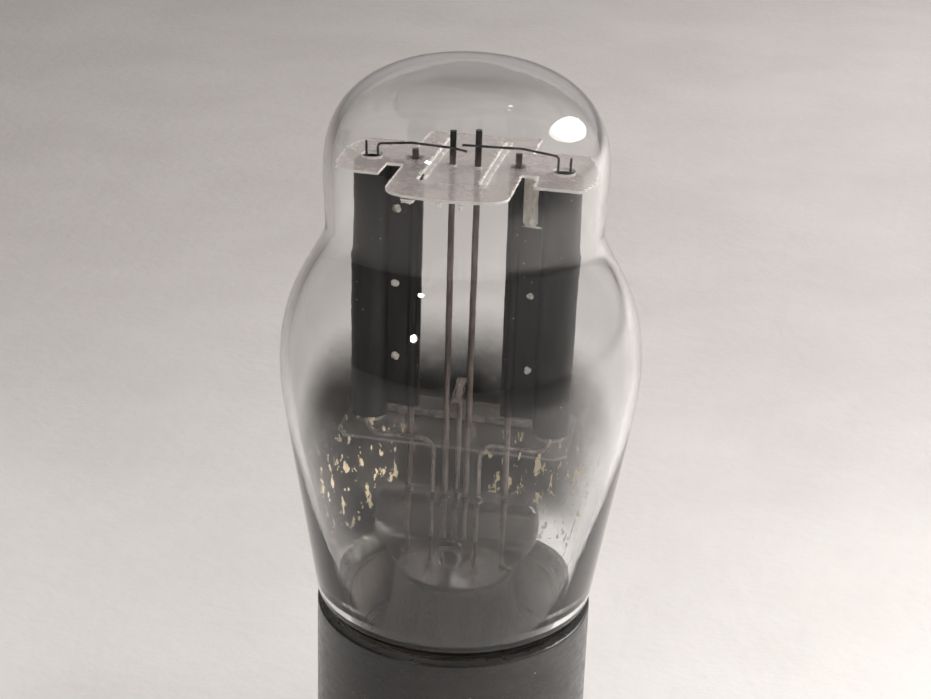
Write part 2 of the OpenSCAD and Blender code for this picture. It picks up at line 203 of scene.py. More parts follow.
def object_place(tree):
    return add_node(tree, "ShaderNodeTexCoord").outputs["Object"]


def scaled(tree, vector, factor):
    return add_node(tree, "ShaderNodeVectorMath", {0: vector, "Scale": factor},
                    {"operation": "SCALE"}).outputs[0]


def stretched_place(group, entry):
    """Object coordinates in millimetres, drawn out along Z by the group's Stretch input."""
    per_metre = 1 / MM
    drawn = calc(group, "DIVIDE", per_metre, entry["Stretch"])
    scale = add_node(group, "ShaderNodeCombineXYZ", {"X": per_metre, "Y": per_metre, "Z": drawn})
    return add_node(group, "ShaderNodeVectorMath", {0: object_place(group), 1: scale.outputs[0]},
                    {"operation": "MULTIPLY"}).outputs[0]


# ---------------------------------------------------------------- shared effects


def build_uneven():
    """A value that wanders between Low and High over the surface."""
    group, entry, leave = start_group(
        "uneven_value", {"Scale": 1.0, "Stretch": 1.0, "Low": 0.3, "High": 0.6, "Detail": 4.0},
        {"Value": "Float"})
    fog = clouds(group, stretched_place(group, entry), entry["Scale"], entry["Detail"], 0.6)
    value = spread(group, fog, 0.32, 0.68, entry["Low"], entry["High"])
    group.links.new(value, leave["Value"])
    return group


def build_two_tone():
    """Two colours that run into each other, for tarnish, stains and patchy coats."""
    group, entry, leave = start_group(
        "two_tone", {"First": (0.5, 0.5, 0.5, 1), "Second": (0.2, 0.2, 0.2, 1), "Scale": 1.0,
                     "Stretch": 1.0, "Balance": 0.5, "Softness": 0.2},
        {"Color": "Color", "Mask": "Float"})
    fog = clouds(group, stretched_place(group, entry), entry["Scale"], 6.0, 0.65)
    low = calc(group, "SUBTRACT", entry["Balance"], entry["Softness"])
    high = calc(group, "ADD", entry["Balance"], entry["Softness"])
    mask = spread(group, fog, low, high, soft=True)
    colour = mix_colours(group, mask, entry["First"], entry["Second"])
    group.links.new(colour, leave["Color"])
    group.links.new(mask, leave["Mask"])
    return group


def build_dust():
    """Scattered specks. Spacing is in specks per millimetre, and Share is how many are kept."""
    group, entry, leave = start_group(
        "dust_specks", {"Base": (0.5, 0.5, 0.5, 1), "Dust": (0.5, 0.48, 0.45, 1),
                        "Spacing": 1.0, "Size": 0.12, "Share": 0.2}, {"Color": "Color"})
    cells = add_node(group, "ShaderNodeTexVoronoi",
                     {"Vector": scaled(group, object_place(group), 1 / MM),
                      "Scale": entry["Spacing"]})
    near = calc(group, "LESS_THAN", cells.outputs["Distance"], entry["Size"])
    pick = add_node(group, "ShaderNodeSeparateColor", {"Color": cells.outputs["Color"]})
    kept = calc(group, "LESS_THAN", pick.outputs[0], entry["Share"])
    mask = calc(group, "MULTIPLY", near, kept)
    group.links.new(mix_colours(group, mask, entry["Base"], entry["Dust"]), leave["Color"])
    return group


def build_ripple():
    """A bumped normal: dents of the given size and depth, both in millimetres."""
    group, entry, leave = start_group(
        "rippled_surface", {"Size": 1.0, "Stretch": 1.0, "Depth": 0.02, "Strength": 0.5},
        {"Normal": "Vector"})
    rate = calc(group, "DIVIDE", 1.0, entry["Size"])
    fog = clouds(group, stretched_place(group, entry), rate, 5.0, 0.55)
    depth = calc(group, "MULTIPLY", entry["Depth"], MM)
    bump = add_node(group, "ShaderNodeBump",
                    {"Strength": entry["Strength"], "Distance": depth, "Height": fog})
    group.links.new(bump.outputs[0], leave["Normal"])
    return group


def build_stain():
    """A soft patch around one place, given in metres, with a ragged border."""
    group, entry, leave = start_group(
        "stain_patch", {"Centre": "Vector", "Radius": 1.0, "Raggedness": 0.5},
        {"Mask": "Float"})
    place = object_place(group)
    away = add_node(group, "ShaderNodeVectorMath", {0: place, 1: entry["Centre"]},
                    {"operation": "DISTANCE"})
    ragged = calc(group, "SUBTRACT", clouds(group, place, 900.0, 5.0), 0.5)
    share = calc(group, "DIVIDE", away.outputs["Value"],
                 calc(group, "MULTIPLY", entry["Radius"], MM))
    reach = calc(group, "MULTIPLY_ADD", ragged, entry["Raggedness"], share)
    group.links.new(spread(group, reach, 0.55, 1.05, 1.0, 0.0, soft=True), leave["Mask"])
    return group


UNEVEN = build_uneven()
TWO_TONE = build_two_tone()
DUST = build_dust()
RIPPLE = build_ripple()
STAIN = build_stain()


def use_group(tree, group, inputs):
    """Adds a shared effect and returns its results by name."""
    return add_node(tree, "ShaderNodeGroup", inputs, {"node_tree": group}).outputs


def two_tone(tree, first, second, **sizes):
    """Runs two colours into each other. Either may be a result of another effect."""
    tones = {"First": first, "Second": second}
    for label, tone in tones.items():
        if isinstance(tone, tuple):
            tones[label] = (*tone, 1)
    return use_group(tree, TWO_TONE, {**tones, **sizes})


def uneven(tree, **sizes):
    return use_group(tree, UNEVEN, sizes)["Value"]


def ripple(tree, **sizes):
    return use_group(tree, RIPPLE, sizes)["Normal"]


# ---------------------------------------------------------------- materials


def start_material(name, **constants):
    """A material with one Principled shader. The constants are set on the shader's own sockets."""
    material = bpy.data.materials.new(name)
    material.use_nodes = True
    tree = material.node_tree
    shader = tree.nodes["Principled BSDF"]
    for label, value in constants.items():
        shader.inputs[label.replace("_", " ")].default_value = value
    return material, tree, shader


def feed(tree, shader, **sockets):
    for label, socket in sockets.items():
        tree.links.new(socket, shader.inputs[label.replace("_", " ")])


def metal_finish(name, bright, dull, low, high, stretch, scale=0.8, depth=0.01, balance=0.5,
                 burnt_above=None):
    """Drawn or rolled metal: two tones, an uneven shine and fine drawing marks along Z.

    burnt_above is the level, in millimetres above the rim, from which the metal is blackened.
    """
    material, tree, shader = start_material(name, Metallic=1.0)
    colour = two_tone(tree, dull, bright, Scale=scale, Stretch=stretch, Balance=balance,
                      Softness=0.16)["Color"]
    if burnt_above is not None:
        parts = add_node(tree, "ShaderNodeSeparateXYZ", {0: object_place(tree)})
        burnt = spread(tree, parts.outputs["Z"], at(0, 0, burnt_above - 1).z,
                       at(0, 0, burnt_above + 1).z)
        colour = mix_colours(tree, burnt, colour, (0.035, 0.038, 0.033, 1))
    feed(tree, shader, Base_Color=colour,
         Roughness=uneven(tree, Scale=scale * 2.5, Stretch=stretch, Low=low, High=high),
         Normal=ripple(tree, Size=0.35, Stretch=stretch, Depth=depth))
    return material


def make_bulb_glass():
    """Blown glass with faint hand smudges and a slightly wavy wall."""
    material, tree, shader = start_material(
        "bulb_glass", Base_Color=(0.985, 0.99, 0.985, 1), Transmission_Weight=1.0, IOR=1.48)
    feed(tree, shader, Roughness=uneven(tree, Scale=0.16, Stretch=1.6, Low=0.0, High=0.012),
         Normal=ripple(tree, Size=9.0, Stretch=1.5, Depth=0.05, Strength=0.35))
    return material


def make_stem_glass():
    """Fire-polished lead glass, pinched while soft, so its faces are lumpy."""
    material, tree, shader = start_material("stem_glass", Transmission_Weight=1.0, IOR=1.55)
    tint = two_tone(tree, (0.86, 0.83, 0.82), (0.95, 0.94, 0.92), Scale=0.3)
    feed(tree, shader, Base_Color=tint["Color"],
         Roughness=uneven(tree, Scale=0.5, Low=0.0, High=0.03),
         Normal=ripple(tree, Size=1.3, Stretch=1.2, Depth=0.3, Strength=0.8))
    return material


def make_mirror_coat():
    """Barium mirror: a dark smoky metal that thins out towards its border, with painted glints: gold
    specks that stand in for reflections of the light.
    """
    material, tree, shader = start_material("getter_mirror", Metallic=1.0)
    smoke = two_tone(tree, (0.038, 0.036, 0.034), (0.07, 0.066, 0.06), Scale=0.12)
    # Painted glints: where these specks and the painted_glint attribute meet, the film turns into
    # opaque matte gold that stands in for reflections.
    painted_glint_specks = two_tone(tree, (0, 0, 0), (1, 1, 1), Scale=0.8, Stretch=1.9, Balance=0.585,
                      Softness=0.012)
    cover, painted_glint = (add_node(tree, "ShaderNodeAttribute", settings={"attribute_name": label})
                     for label in ("cover", "painted_glint"))
    painted_glint_mask = calc(tree, "MULTIPLY", painted_glint_specks["Mask"], painted_glint.outputs["Fac"])
    tint = mix_colours(tree, painted_glint_mask, smoke["Color"], (0.9, 0.74, 0.5, 1))
    patchy = uneven(tree, Scale=0.25, Low=0.82, High=1.05)
    smoky = calc(tree, "MULTIPLY", cover.outputs["Fac"], patchy, clamp=True)
    feed(tree, shader, Base_Color=tint, Metallic=calc(tree, "SUBTRACT", 1.0, painted_glint_mask),
         Alpha=calc(tree, "MAXIMUM", smoky, painted_glint_mask),
         Roughness=uneven(tree, Scale=0.3, Low=0.08, High=0.2),
         Normal=ripple(tree, Size=2.6, Stretch=1.6, Depth=0.22, Strength=0.55))
    return material


def make_carbonised():
    """Matte soot-black coat on nickel sheet, with rolling streaks, rubs and dust."""
    material, tree, shader = start_material("carbonised_nickel", Specular_IOR_Level=0.38)
    coat = two_tone(tree, (0.007, 0.007, 0.007), (0.021, 0.020, 0.019), Scale=0.55, Stretch=5.0,
                    Balance=0.55)
    rubbed = two_tone(tree, coat["Color"], (0.05, 0.044, 0.04), Scale=0.22, Stretch=2.2,
                      Balance=0.66, Softness=0.05)
    dusted = use_group(tree, DUST, {"Base": rubbed["Color"], "Dust": (0.55, 0.53, 0.5, 1),
                                    "Spacing": 1.1, "Size": 0.085, "Share": 0.16})
    feed(tree, shader, Base_Color=dusted["Color"],
         Roughness=uneven(tree, Scale=0.8, Stretch=6.0, Low=0.34, High=0.6),
         Normal=ripple(tree, Size=0.18, Stretch=2.0, Depth=0.012, Strength=0.6))
    return material


def make_mica(name, edge_white, milkiness, rim_cover):
    """Sheet mica: milky and rosy over its face, whitish where it is cut, sooty at the rods."""
    material, tree, shader = start_material(name, Specular_IOR_Level=0.6, IOR=1.58)
    face = two_tone(tree, (0.42, 0.375, 0.36), (0.46, 0.39, 0.375), Scale=0.13, Balance=0.52,
                    Softness=0.12)
    normal = add_node(tree, "ShaderNodeNewGeometry").outputs["Normal"]
    split = add_node(tree, "ShaderNodeSeparateXYZ", {0: normal})
    upright = calc(tree, "ABSOLUTE", split.outputs["Z"])
    rim = spread(tree, upright, 0.35, 0.85, 1.0, 0.0)
    edge_tint = (edge_white, edge_white * 0.96, edge_white * 0.92, 1)
    cut = mix_colours(tree, rim, face["Color"], edge_tint)
    patches = [use_group(tree, STAIN, {"Centre": at(side * ANODE_ROD_X, 0.2, MICA_MID),
                                       "Radius": 1.25, "Raggedness": 1.1})["Mask"]
               for side, _ in SIDES]
    soot = calc(tree, "MAXIMUM", *patches)
    cloudy = uneven(tree, Scale=0.35, Low=milkiness * 0.85, High=milkiness * 1.15)
    alpha = add_node(tree, "ShaderNodeMix", {"Factor": calc(tree, "MAXIMUM", rim, soot),
                                             "A": cloudy, "B": rim_cover})
    feed(tree, shader, Base_Color=mix_colours(tree, soot, cut, (0.09, 0.075, 0.07, 1)),
         Alpha=alpha.outputs[0], Roughness=uneven(tree, Scale=0.4, Low=0.12, High=0.32),
         Normal=ripple(tree, Size=2.2, Depth=0.06))
    return material


def make_mica_burr():
    """Bruised white mica along a cut."""
    material, tree, shader = start_material("mica_burr", Roughness=0.35,
                                            Specular_IOR_Level=0.8)
    tone = two_tone(tree, (0.62, 0.58, 0.55), (0.93, 0.9, 0.87), Scale=1.4, Softness=0.1)
    feed(tree, shader, Base_Color=tone["Color"],
         Alpha=uneven(tree, Scale=1.2, Low=0.55, High=1.0))
    return material


def make_bakelite():
    """Black phenolic moulding: satin, a little swirled, lightly scuffed and dusty."""
    material, tree, shader = start_material("bakelite", IOR=1.6, Coat_Weight=0.15,
                                            Coat_Roughness=0.12)
    swirl = two_tone(tree, (0.010, 0.010, 0.010), (0.022, 0.020, 0.018), Scale=0.14,
                     Stretch=0.5, Softness=0.15)
    dusted = use_group(tree, DUST, {"Base": swirl["Color"], "Dust": (0.3, 0.29, 0.27, 1),
                                    "Spacing": 0.55, "Size": 0.06, "Share": 0.14})
    feed(tree, shader, Base_Color=dusted["Color"],
         Roughness=uneven(tree, Scale=0.5, Stretch=0.35, Low=0.2, High=0.42, Detail=8.0),
         Normal=ripple(tree, Size=0.5, Stretch=0.6, Depth=0.012, Strength=0.35))
    return material


def make_chalky(name, first, second, size, depth):
    """A dull crumbly surface, for cement and for the filaments' oxide coat."""
    material, tree, shader = start_material(name)
    tone = two_tone(tree, first, second, Scale=1.0 / size, Softness=0.14)
    feed(tree, shader, Base_Color=tone["Color"],
         Roughness=uneven(tree, Scale=1.5 / size, Low=0.75, High=0.95),
         Normal=ripple(tree, Size=size, Depth=depth, Strength=0.8))
    return material


BULB_GLASS = make_bulb_glass()
STEM_GLASS = make_stem_glass()
GETTER_FILM = make_mirror_coat()
CARBONISED = make_carbonised()
TOP_MICA = make_mica("spacer_mica", 0.8, 0.52, 0.96)
STRIP_MICA = make_mica("strip_mica", 0.5, 0.03, 0.2)
MICA_BURR = make_mica_burr()
BAKELITE = make_bakelite()
CEMENT = make_chalky("basing_cement", (0.03, 0.024, 0.02), (0.09, 0.066, 0.05), 0.7, 0.12)
OXIDE = make_chalky("filament_oxide", (0.55, 0.52, 0.48), (0.75, 0.73, 0.7), 0.3, 0.05)
BRIGHT_NICKEL = metal_finish("bright_nickel", (0.80, 0.77, 0.72), (0.52, 0.48, 0.44),
                             0.22, 0.42, 3.0)
WELD_NICKEL = metal_finish("weld_nickel", (0.93, 0.9, 0.86), (0.72, 0.68, 0.63),
                           0.3, 0.55, 1.0, scale=2.5, depth=0.05)
ROD_NICKEL = metal_finish("rod_nickel", (0.26, 0.22, 0.2), (0.1, 0.08, 0.075),
                          0.24, 0.5, 6.0, burnt_above=MICA_TOP + 1)
LEAD_NICKEL = metal_finish("lead_nickel", (0.34, 0.3, 0.27), (0.13, 0.11, 0.1),
                           0.22, 0.45, 6.0)
SPRING_WIRE = metal_finish("spring_wire", (0.13, 0.12, 0.115), (0.045, 0.04, 0.04),
                           0.3, 0.5, 2.0)
TAIL_WIRE = metal_finish("tail_wire", (0.14, 0.085, 0.06), (0.07, 0.045, 0.035),
                         0.3, 0.5, 4.0)
GETTER_NICKEL = metal_finish("getter_nickel", (0.42, 0.38, 0.35), (0.12, 0.105, 0.1),
                             0.2, 0.4, 2.0)
LINK_NICKEL = metal_finish("link_nickel", (0.2, 0.18, 0.165), (0.08, 0.07, 0.065),
                           0.25, 0.45, 2.0)
PIN_PLATE = metal_finish("pin_plate", (0.74, 0.71, 0.65), (0.5, 0.46, 0.4),
                         0.2, 0.45, 9.0, scale=0.6, depth=0.02, balance=0.45)
SOLDER = metal_finish("tin_solder", (0.6, 0.61, 0.62), (0.32, 0.33, 0.34),
                      0.35, 0.6, 1.0, scale=1.4, depth=0.06)


# ---------------------------------------------------------------- mesh helpers


def add_object(name, data):
    made = bpy.data.objects.new(name, data)
    bpy.context.scene.collection.objects.link(made)
    return made


def finish_piece(piece, slot, *nodes):
    """Hangs a piece on the body it rides on and hides the solids it stands for; its slot only tells
    whether it is clear.

    Clear pieces cast no shadow, so that light reaches what is inside the bulb.
    """
    piece.visible_shadow = slot not in CLEAR_SLOTS
    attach(piece, BODY)
    if nodes:
        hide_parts(*nodes)


def seal(mesh, reach=1e-7):
    """Merges doubles, drops edges and points without faces and turns the faces outwards."""
    work = bmesh.new()
    work.from_mesh(mesh)
    bmesh.ops.remove_doubles(work, verts=work.verts, dist=reach)
    bare_edges = [edge for edge in work.edges if not edge.link_faces]
    bmesh.ops.delete(work, geom=bare_edges, context="EDGES")
    bare_points = [vertex for vertex in work.verts if not vertex.link_faces]
    bmesh.ops.delete(work, geom=bare_points, context="VERTS")
    bmesh.ops.recalc_face_normals(work, faces=work.faces)
    work.to_mesh(mesh)
    work.free()


def add_mesh(name, points, faces, material, tidy=True):
    """A mesh piece, sealed where tidy is set."""
    mesh = bpy.data.meshes.new(name)
    mesh.from_pydata(points, [], faces)
    if tidy:
        seal(mesh)
    shade_smooth(mesh)
    mesh.materials.append(material)
    return add_object(name, mesh)


def shade_smooth(mesh):
    mesh.polygons.foreach_set("use_smooth", [True] * len(mesh.polygons))


def sharpen(mesh, degrees):
    """Keeps edges steeper than the angle sharp, and shades the rest smoothly."""
    shade_smooth(mesh)
    mesh.set_sharp_from_angle(angle=math.radians(degrees))


def apply_modifiers(piece):
    """Turns a piece with modifiers into its plain final mesh."""
    bpy.context.view_layer.update()
    seen = piece.evaluated_get(bpy.context.evaluated_depsgraph_get())
    final = bpy.data.meshes.new_from_object(seen)
    piece.modifiers.clear()
    if piece.type == "MESH":
        old = piece.data
        piece.data = final
        final.name = piece.name
        bpy.data.meshes.remove(old)
        return piece
    name = piece.name
    bpy.data.objects.remove(piece)
    return add_object(name, final)


def thicken(piece, thickness, offset=0.0):
    """Gives a sheet its thickness: about its middle at offset 0, and inwards at -1."""
    skin = piece.modifiers.new("thickness", "SOLIDIFY")
    skin.thickness = thickness * MM
    skin.offset = offset
    return apply_modifiers(piece)


def soften_edges(piece, width):
    soft = piece.modifiers.new("edges", "BEVEL")
    soft.width = width * MM
    soft.segments = 2
    return apply_modifiers(piece)


def cut_away(piece, cutter):
    """Cuts a piece with another one, which is then removed."""
    cut = piece.modifiers.new("cut", "BOOLEAN")
    cut.operation = "DIFFERENCE"
    cut.object = cutter
    piece = apply_modifiers(piece)
    bpy.data.objects.remove(cutter)
    return piece


def grid_faces(rows, columns, round_rows=False, round_columns=False, flip=False):
    """Faces between points kept row by row. A round direction closes on itself."""
    faces = []
    for row in range(rows if round_rows else rows - 1):
        here, there = row * columns, (row + 1) % rows * columns
        for column in range(columns if round_columns else columns - 1):
            after = (column + 1) % columns
            face = (here + column, here + after, there + after, there + column)
            faces.append(face[:1] + face[:0:-1] if flip else face)
    return faces


def arc_points(centre, radius, start, end, steps):
    """Points along an arc, from one angle to the other in degrees."""
    points = []
    for step in range(steps + 1):
        angle = math.radians(start + (end - start) * step / steps)
        points.append((centre[0] + radius * math.cos(angle),
                       centre[1] + radius * math.sin(angle)))
    return points


def pull_curve(start, start_pull, end, end_pull, steps):
    """Points from start towards end, leaving along one pull and arriving along the other."""
    points = []
    for step in range(steps):
        t = step / steps
        shares = (2 * t**3 - 3 * t**2 + 1, t**3 - 2 * t**2 + t, 3 * t**2 - 2 * t**3, t**3 - t**2)
        parts = (start, start_pull, end, end_pull)
        points.append(tuple(sum(s * p[k] for s, p in zip(shares, parts)) for k in (0, 1)))
    return points


def inset(points, distance):
    """An open outline moved to its left."""
    moved = []
    for index, (r, z) in enumerate(points):
        after = points[min(index + 1, len(points) - 1)]
        before = points[max(index - 1, 0)]
        run, rise = after[0] - before[0], after[1] - before[1]
        length = math.hypot(run, rise)
        moved.append((r - distance * rise / length, z + distance * run / length))
    return moved


def lathe(name, outline, material, turns=144, centre=(0.0, 0.0), closed=True, unround=None):
    """Turns an outline of radii and levels about a vertical line. unround may shift a point."""
    points = []
    for turn in range(turns):
        angle = 2 * math.pi * turn / turns
        for r, z in outline:
            if unround:
                r, z = unround(r, z, angle)
            points.append(at(centre[0] + r * math.cos(angle), centre[1] + r * math.sin(angle), z))
    return add_mesh(name, points, grid_faces(turns, len(outline), True, closed, True), material)


# ---------------------------------------------------------------- wires, by Geometry Nodes


def paint(group, geometry, material):
    """Makes instances real and gives the result its material."""
    real = add_node(group, "GeometryNodeRealizeInstances", {"Geometry": geometry})
    return add_node(group, "GeometryNodeSetMaterial",
                    {"Geometry": real.outputs[0], "Material": material}).outputs[0]


def build_round_wire():
    """Sweeps a round section along a route whose corners are bent to a radius."""
    group, entry, leave = start_group(
        "round_wire", {"Route": "Geometry", "Radius": 0.0003, "Bend radius": 0.0005,
                       "Sides": 20, "Material": "Material"},
        {"Wire": "Geometry"}, "GeometryNodeTree")
    bend = add_node(group, "GeometryNodeFilletCurve",
                    {"Curve": entry["Route"], "Count": 7, "Radius": entry["Bend radius"],
                     "Limit Radius": True}, {"mode": "POLY"})
    section = add_node(group, "GeometryNodeCurvePrimitiveCircle",
                       {"Resolution": entry["Sides"], "Radius": entry["Radius"]})
    sweep = add_node(group, "GeometryNodeCurveToMesh",
                     {"Curve": bend.outputs[0], "Profile Curve": section.outputs["Curve"],
                      "Fill Caps": True})
    join = add_node(group, "GeometryNodeMergeByDistance",
                    {"Geometry": sweep.outputs[0], "Distance": 1e-7})
    shade = add_node(group, "GeometryNodeSetShadeSmooth", {"Geometry": join.outputs[0]})
    group.links.new(paint(group, shade.outputs[0], entry["Material"]), leave["Wire"])
    return group


def run_tree(piece, group, values):
    """Runs a Geometry Nodes tree on an object and returns the plain result."""
    modifier = piece.modifiers.new(group.name, "NODES")
    modifier.node_group = group
    for item in group.interface.items_tree:
        if item.in_out == "INPUT" and item.name in values:
            modifier[item.identifier] = values[item.name]
    return apply_modifiers(piece)


def add_lines(name, routes):
    """A curve object with one straight-sided line for each route."""
    line = bpy.data.curves.new(name, "CURVE")
    line.dimensions = "3D"
    for route in routes:
        spline = line.splines.new("POLY")
        spline.points.add(len(route) - 1)
        for point, place in zip(spline.points, route):
            point.co = (*at(*place), 1.0)
    return add_object(name, line)


ROUND_WIRE = build_round_wire()


def wire(name, route, radius, bend, material, sides=20):
    """A wire along a route, with its corners bent to a radius."""
    made = run_tree(add_lines(name, [route]), ROUND_WIRE,
                    {"Radius": radius * MM, "Bend radius": bend * MM, "Sides": sides,
                     "Material": material})
    seal(made.data)
    sharpen(made.data, 50)
    return made


# ---------------------------------------------------------------- camera, floor and light


def make_camera():
    camera = bpy.data.cameras.new("camera")
    camera.lens = 77.05
    camera.sensor_width = 36.0
    camera.clip_start = 0.01
    holder = add_object("camera", camera)
    holder.location = at(42.73, -218.47, 131.52)
    holder.rotation_euler = [math.radians(angle) for angle in (66.36, -1.676, 11.663)]
    bpy.context.scene.camera = holder


def make_floor():
    """A wide pale sheet under the tube."""
    reach = 3.0
    corners = [(-reach, -reach, 0), (reach, -reach, 0), (reach, reach, 0), (-reach, reach, 0)]
    material, tree, shader = start_material("floor_paper", Roughness=0.85,
                                            Specular_IOR_Level=0.2)
    paper = two_tone(tree, (0.72, 0.685, 0.665), (0.78, 0.745, 0.725), Scale=0.02)
    feed(tree, shader, Base_Color=paper["Color"],
         Normal=ripple(tree, Size=3.0, Depth=0.5, Strength=0.35))
    add_mesh("floor", corners, [(0, 1, 2, 3)], material, tidy=False)


def soft_light(name, towards, distance, size, power, colour, aim, mirrored=True, roll=0.0):
    """A soft box that looks at a place. mirrored says whether gloss and glass show it."""
    light = bpy.data.lights.new(name, "AREA")
    light.shape = "ELLIPSE"
    light.size, light.size_y = size
    light.energy = power
    light.color = colour
    holder = add_object(name, light)
    target = at(*aim)
    holder.location = target + Vector(towards).normalized() * distance
    facing = (target - holder.location).to_track_quat("-Z", "Y")
    turned = facing @ Quaternion((0, 0, 1), math.radians(roll))
    holder.rotation_euler = turned.to_euler()
    holder.visible_camera = False
    holder.visible_glossy = mirrored
    holder.visible_transmission = mirrored


def make_lights():
    """A window at the back right, fills over the floor, and two small lamps."""
    soft_light("window", (0.711, 0.525, 0.468), 0.62, (0.24, 0.4), 2.4, (1.0, 0.985, 0.965),
               (13, -6, 65), roll=50)
    for name, towards, distance, width, power, colour, aim in (
            ("near_left_fill", (-0.4, -0.25, 0.9), 0.1, 0.12, 0.045, (0.97, 1.0, 1.0),
             (-80, 25, -44)),
            ("near_right_fill", (0.5, -0.2, 0.9), 0.11, 0.12, 0.082, (0.97, 1.0, 1.0),
             (70, 60, -44)),
            ("far_fill", (0.6, 0.1, 0.8), 0.3, 0.3, 0.35, (1.0, 0.99, 0.98), (80, 470, -44)),
            ("floor_fill", (0.82, -0.3, 0.5), 0.26, 0.2, 0.42, (1.0, 0.98, 0.96),
             (20, 0, -20))):
        soft_light(name, towards, distance, (width, width), power, colour, aim, mirrored=False)
    soft_light("lamp", (-0.343, -0.817, 0.463), 0.9, (0.065, 0.065), 0.6, (1.0, 0.97, 0.92),
               (-2, -19, 44))
    soft_light("ceiling", (0.199, 0.44, 0.876), 0.9, (0.03, 0.02), 0.03, (1.0, 1.0, 1.0),
               (6, -8, 69))


def make_world():
    """Light grey round the sides and back, and a dim room in front."""
    world = bpy.data.worlds.new("studio")
    bpy.context.scene.world = world
    world.use_nodes = True
    tree = world.node_tree
    place = add_node(tree, "ShaderNodeTexCoord")
    lit_side = add_node(tree, "ShaderNodeVectorMath",
                        {0: place.outputs["Generated"], 1: Vector((0.62, 0.62, 0.1))},
                        {"operation": "DOT_PRODUCT"})
    strength = spread(tree, lit_side.outputs["Value"], -0.6, 0.75, 0.055, 0.43, soft=True)
    backdrop = tree.nodes["Background"]
    backdrop.inputs["Color"].default_value = (1.0, 0.94, 0.92, 1)
    tree.links.new(strength, backdrop.inputs["Strength"])


make_camera()
make_floor()
make_lights()
make_world()
bpy.context.scene.view_settings.view_transform = "Standard"


# ---------------------------------------------------------------- glass


def bulb_outline():
    """The outside of the bulb, from the foot of the neck to the crown."""
    shoulder, flank, bulge = (17.5, 2.2), (21.35, 26.0), (22.05, 33.0)
    waist, dome = (16.6, 50.5), (16.85, DOME_FOOT)
    squareness, dome_steps = 2.5, 45
    climb = waist[1] - bulge[1]
    outline = [(NECK_R, NECK_FOOT)]
    outline += pull_curve((NECK_R, -1.6), (0, 2.2), shoulder, (0.6, 3.6), 14)
    outline += pull_curve(shoulder, (1.6, 8.0), (19.2, 12.7), (1.6, 8.0), 1)
    outline += pull_curve(flank, (1.2, 7.4), bulge, (0, 7), 14)
    outline += pull_curve(bulge, (0, 1.83 * climb), waist, (0, 0.69 * climb), 44)
    outline += pull_curve(waist, (0, 6), dome, (0, 6), 12)
    for step in range(dome_steps):
        turn = math.pi / 2 * step / dome_steps
        outline.append((dome[0] * math.cos(turn) ** (2 / squareness),
                        dome[1] + CROWN_H * math.sin(turn) ** (2 / squareness)))
    return outline


def make_bulb():
    outside = bulb_outline()
    inside = inset(outside, GLASS_WALL)
    top = DOME_FOOT + CROWN_H
    outside.append((0.0, top))
    inside = [(r, z) for r, z in inside if r > 0.05] + [(0.0, top - GLASS_WALL)]
    piece = lathe("blown_bulb", outside + inside[::-1], BULB_GLASS, turns=160)
    finish_piece(piece, "bulb_glass", "bulb")


def turned_from(angle, middle):
    """Degrees between an angle and a middle direction, from -180 to 180."""
    return math.degrees(math.atan2(math.sin(angle - middle), math.cos(angle - middle)))


def film_border(turned):
    """Level of the film's upper border, by degrees from the middle of its thick side."""
    return 32.0 - 5.0 * smooth_step(35, 95, abs(turned))


def film_cover(turned, level, below):
    """How much the film hides: it was thrown against the back, and little reached the sides."""
    thick_side = 1 - smooth_step(20, 92, abs(turned))
    left_side = smooth_step(25, 55, turned) * (1 - smooth_step(92, 130, turned))
    right_side = smooth_step(25, 55, -turned) * (1 - smooth_step(70, 100, -turned))
    strength = 0.95 * thick_side + 0.4 * left_side + 0.14 * right_side + 0.07
    lift = 5.0 * smooth_step(10, 40, -turned)
    foot = smooth_step(lift - 2, lift + 4, level)
    behind = 1 - smooth_step(20, 58, abs(turned))
    strength *= foot + (1 - foot) * behind
    fade = 13.0 * thick_side + 6.0 * (1 - thick_side)
    return min(0.95, strength) * smooth_step(0, fade, below)


def painted_glint_ring(turned, level):
    """Where the painted glints lie, gold specks standing in for reflections: a ring low on the film,
    on the flanks of its thick side.
    """
    ring = math.exp(-(((level - 10.5) / 8.0) ** 2))
    return ring * smooth_step(2, 32, abs(turned)) * (1 - smooth_step(75, 100, abs(turned)))


def make_getter_film():
    """The mirror lies just inside the lower glass. Its cover is thin at the border."""
    thick_middle = math.radians(108)
    turns, rows, foot = 220, 90, -9.5
    bed = inset([p for p in bulb_outline() if p[1] < 60], GLASS_WALL + 0.05)
    bed = [(r, z) for r, z in bed if z > foot - 0.1]
    points, cover, painted_glint = [], [], []
    for turn in range(turns):
        angle = 2 * math.pi * turn / turns
        turned = turned_from(angle, thick_middle)
        ragged = noise.fractal(Vector((math.cos(angle), math.sin(angle), 0.4)) * 3.1, 1.0, 2.0, 4)
        border = film_border(turned) + 0.35 * ragged
        for row in range(rows + 1):
            level = foot + (border - foot) * (1 - (1 - row / rows) ** 1.6)
            r = radius_on(bed, level)
            place = Vector((r * math.cos(angle), r * math.sin(angle), level))
            points.append(at(*place))
            wander = 14 * noise.noise(place * 0.09)
            cover.append(film_cover(turned + wander, level, border - level))
            # How much painted glint, gold standing in for reflections, each point may carry.
            painted_glint.append(painted_glint_ring(turned, level))
    faces = grid_faces(turns, rows + 1, round_rows=True, flip=True)
    piece = add_mesh("getter_film", points, faces, GETTER_FILM, tidy=False)
    for label, values in (("cover", cover), ("painted_glint", painted_glint)):
        layer = piece.data.attributes.new(label, "FLOAT", "POINT")
        layer.data.foreach_set("value", values)
    finish_piece(thicken(piece, 0.01, -1), "bulb_glass")


def radius_on(outline, level):
    """Radius of an outline at a level."""
    for (r0, z0), (r1, z1) in zip(outline, outline[1:]):
        if z0 <= level <= z1:
            share = (level - z0) / (z1 - z0) if z1 > z0 else 0.0
            return r0 + (r1 - r0) * share
    return outline[0][0] if level < outline[0][1] else outline[-1][0]


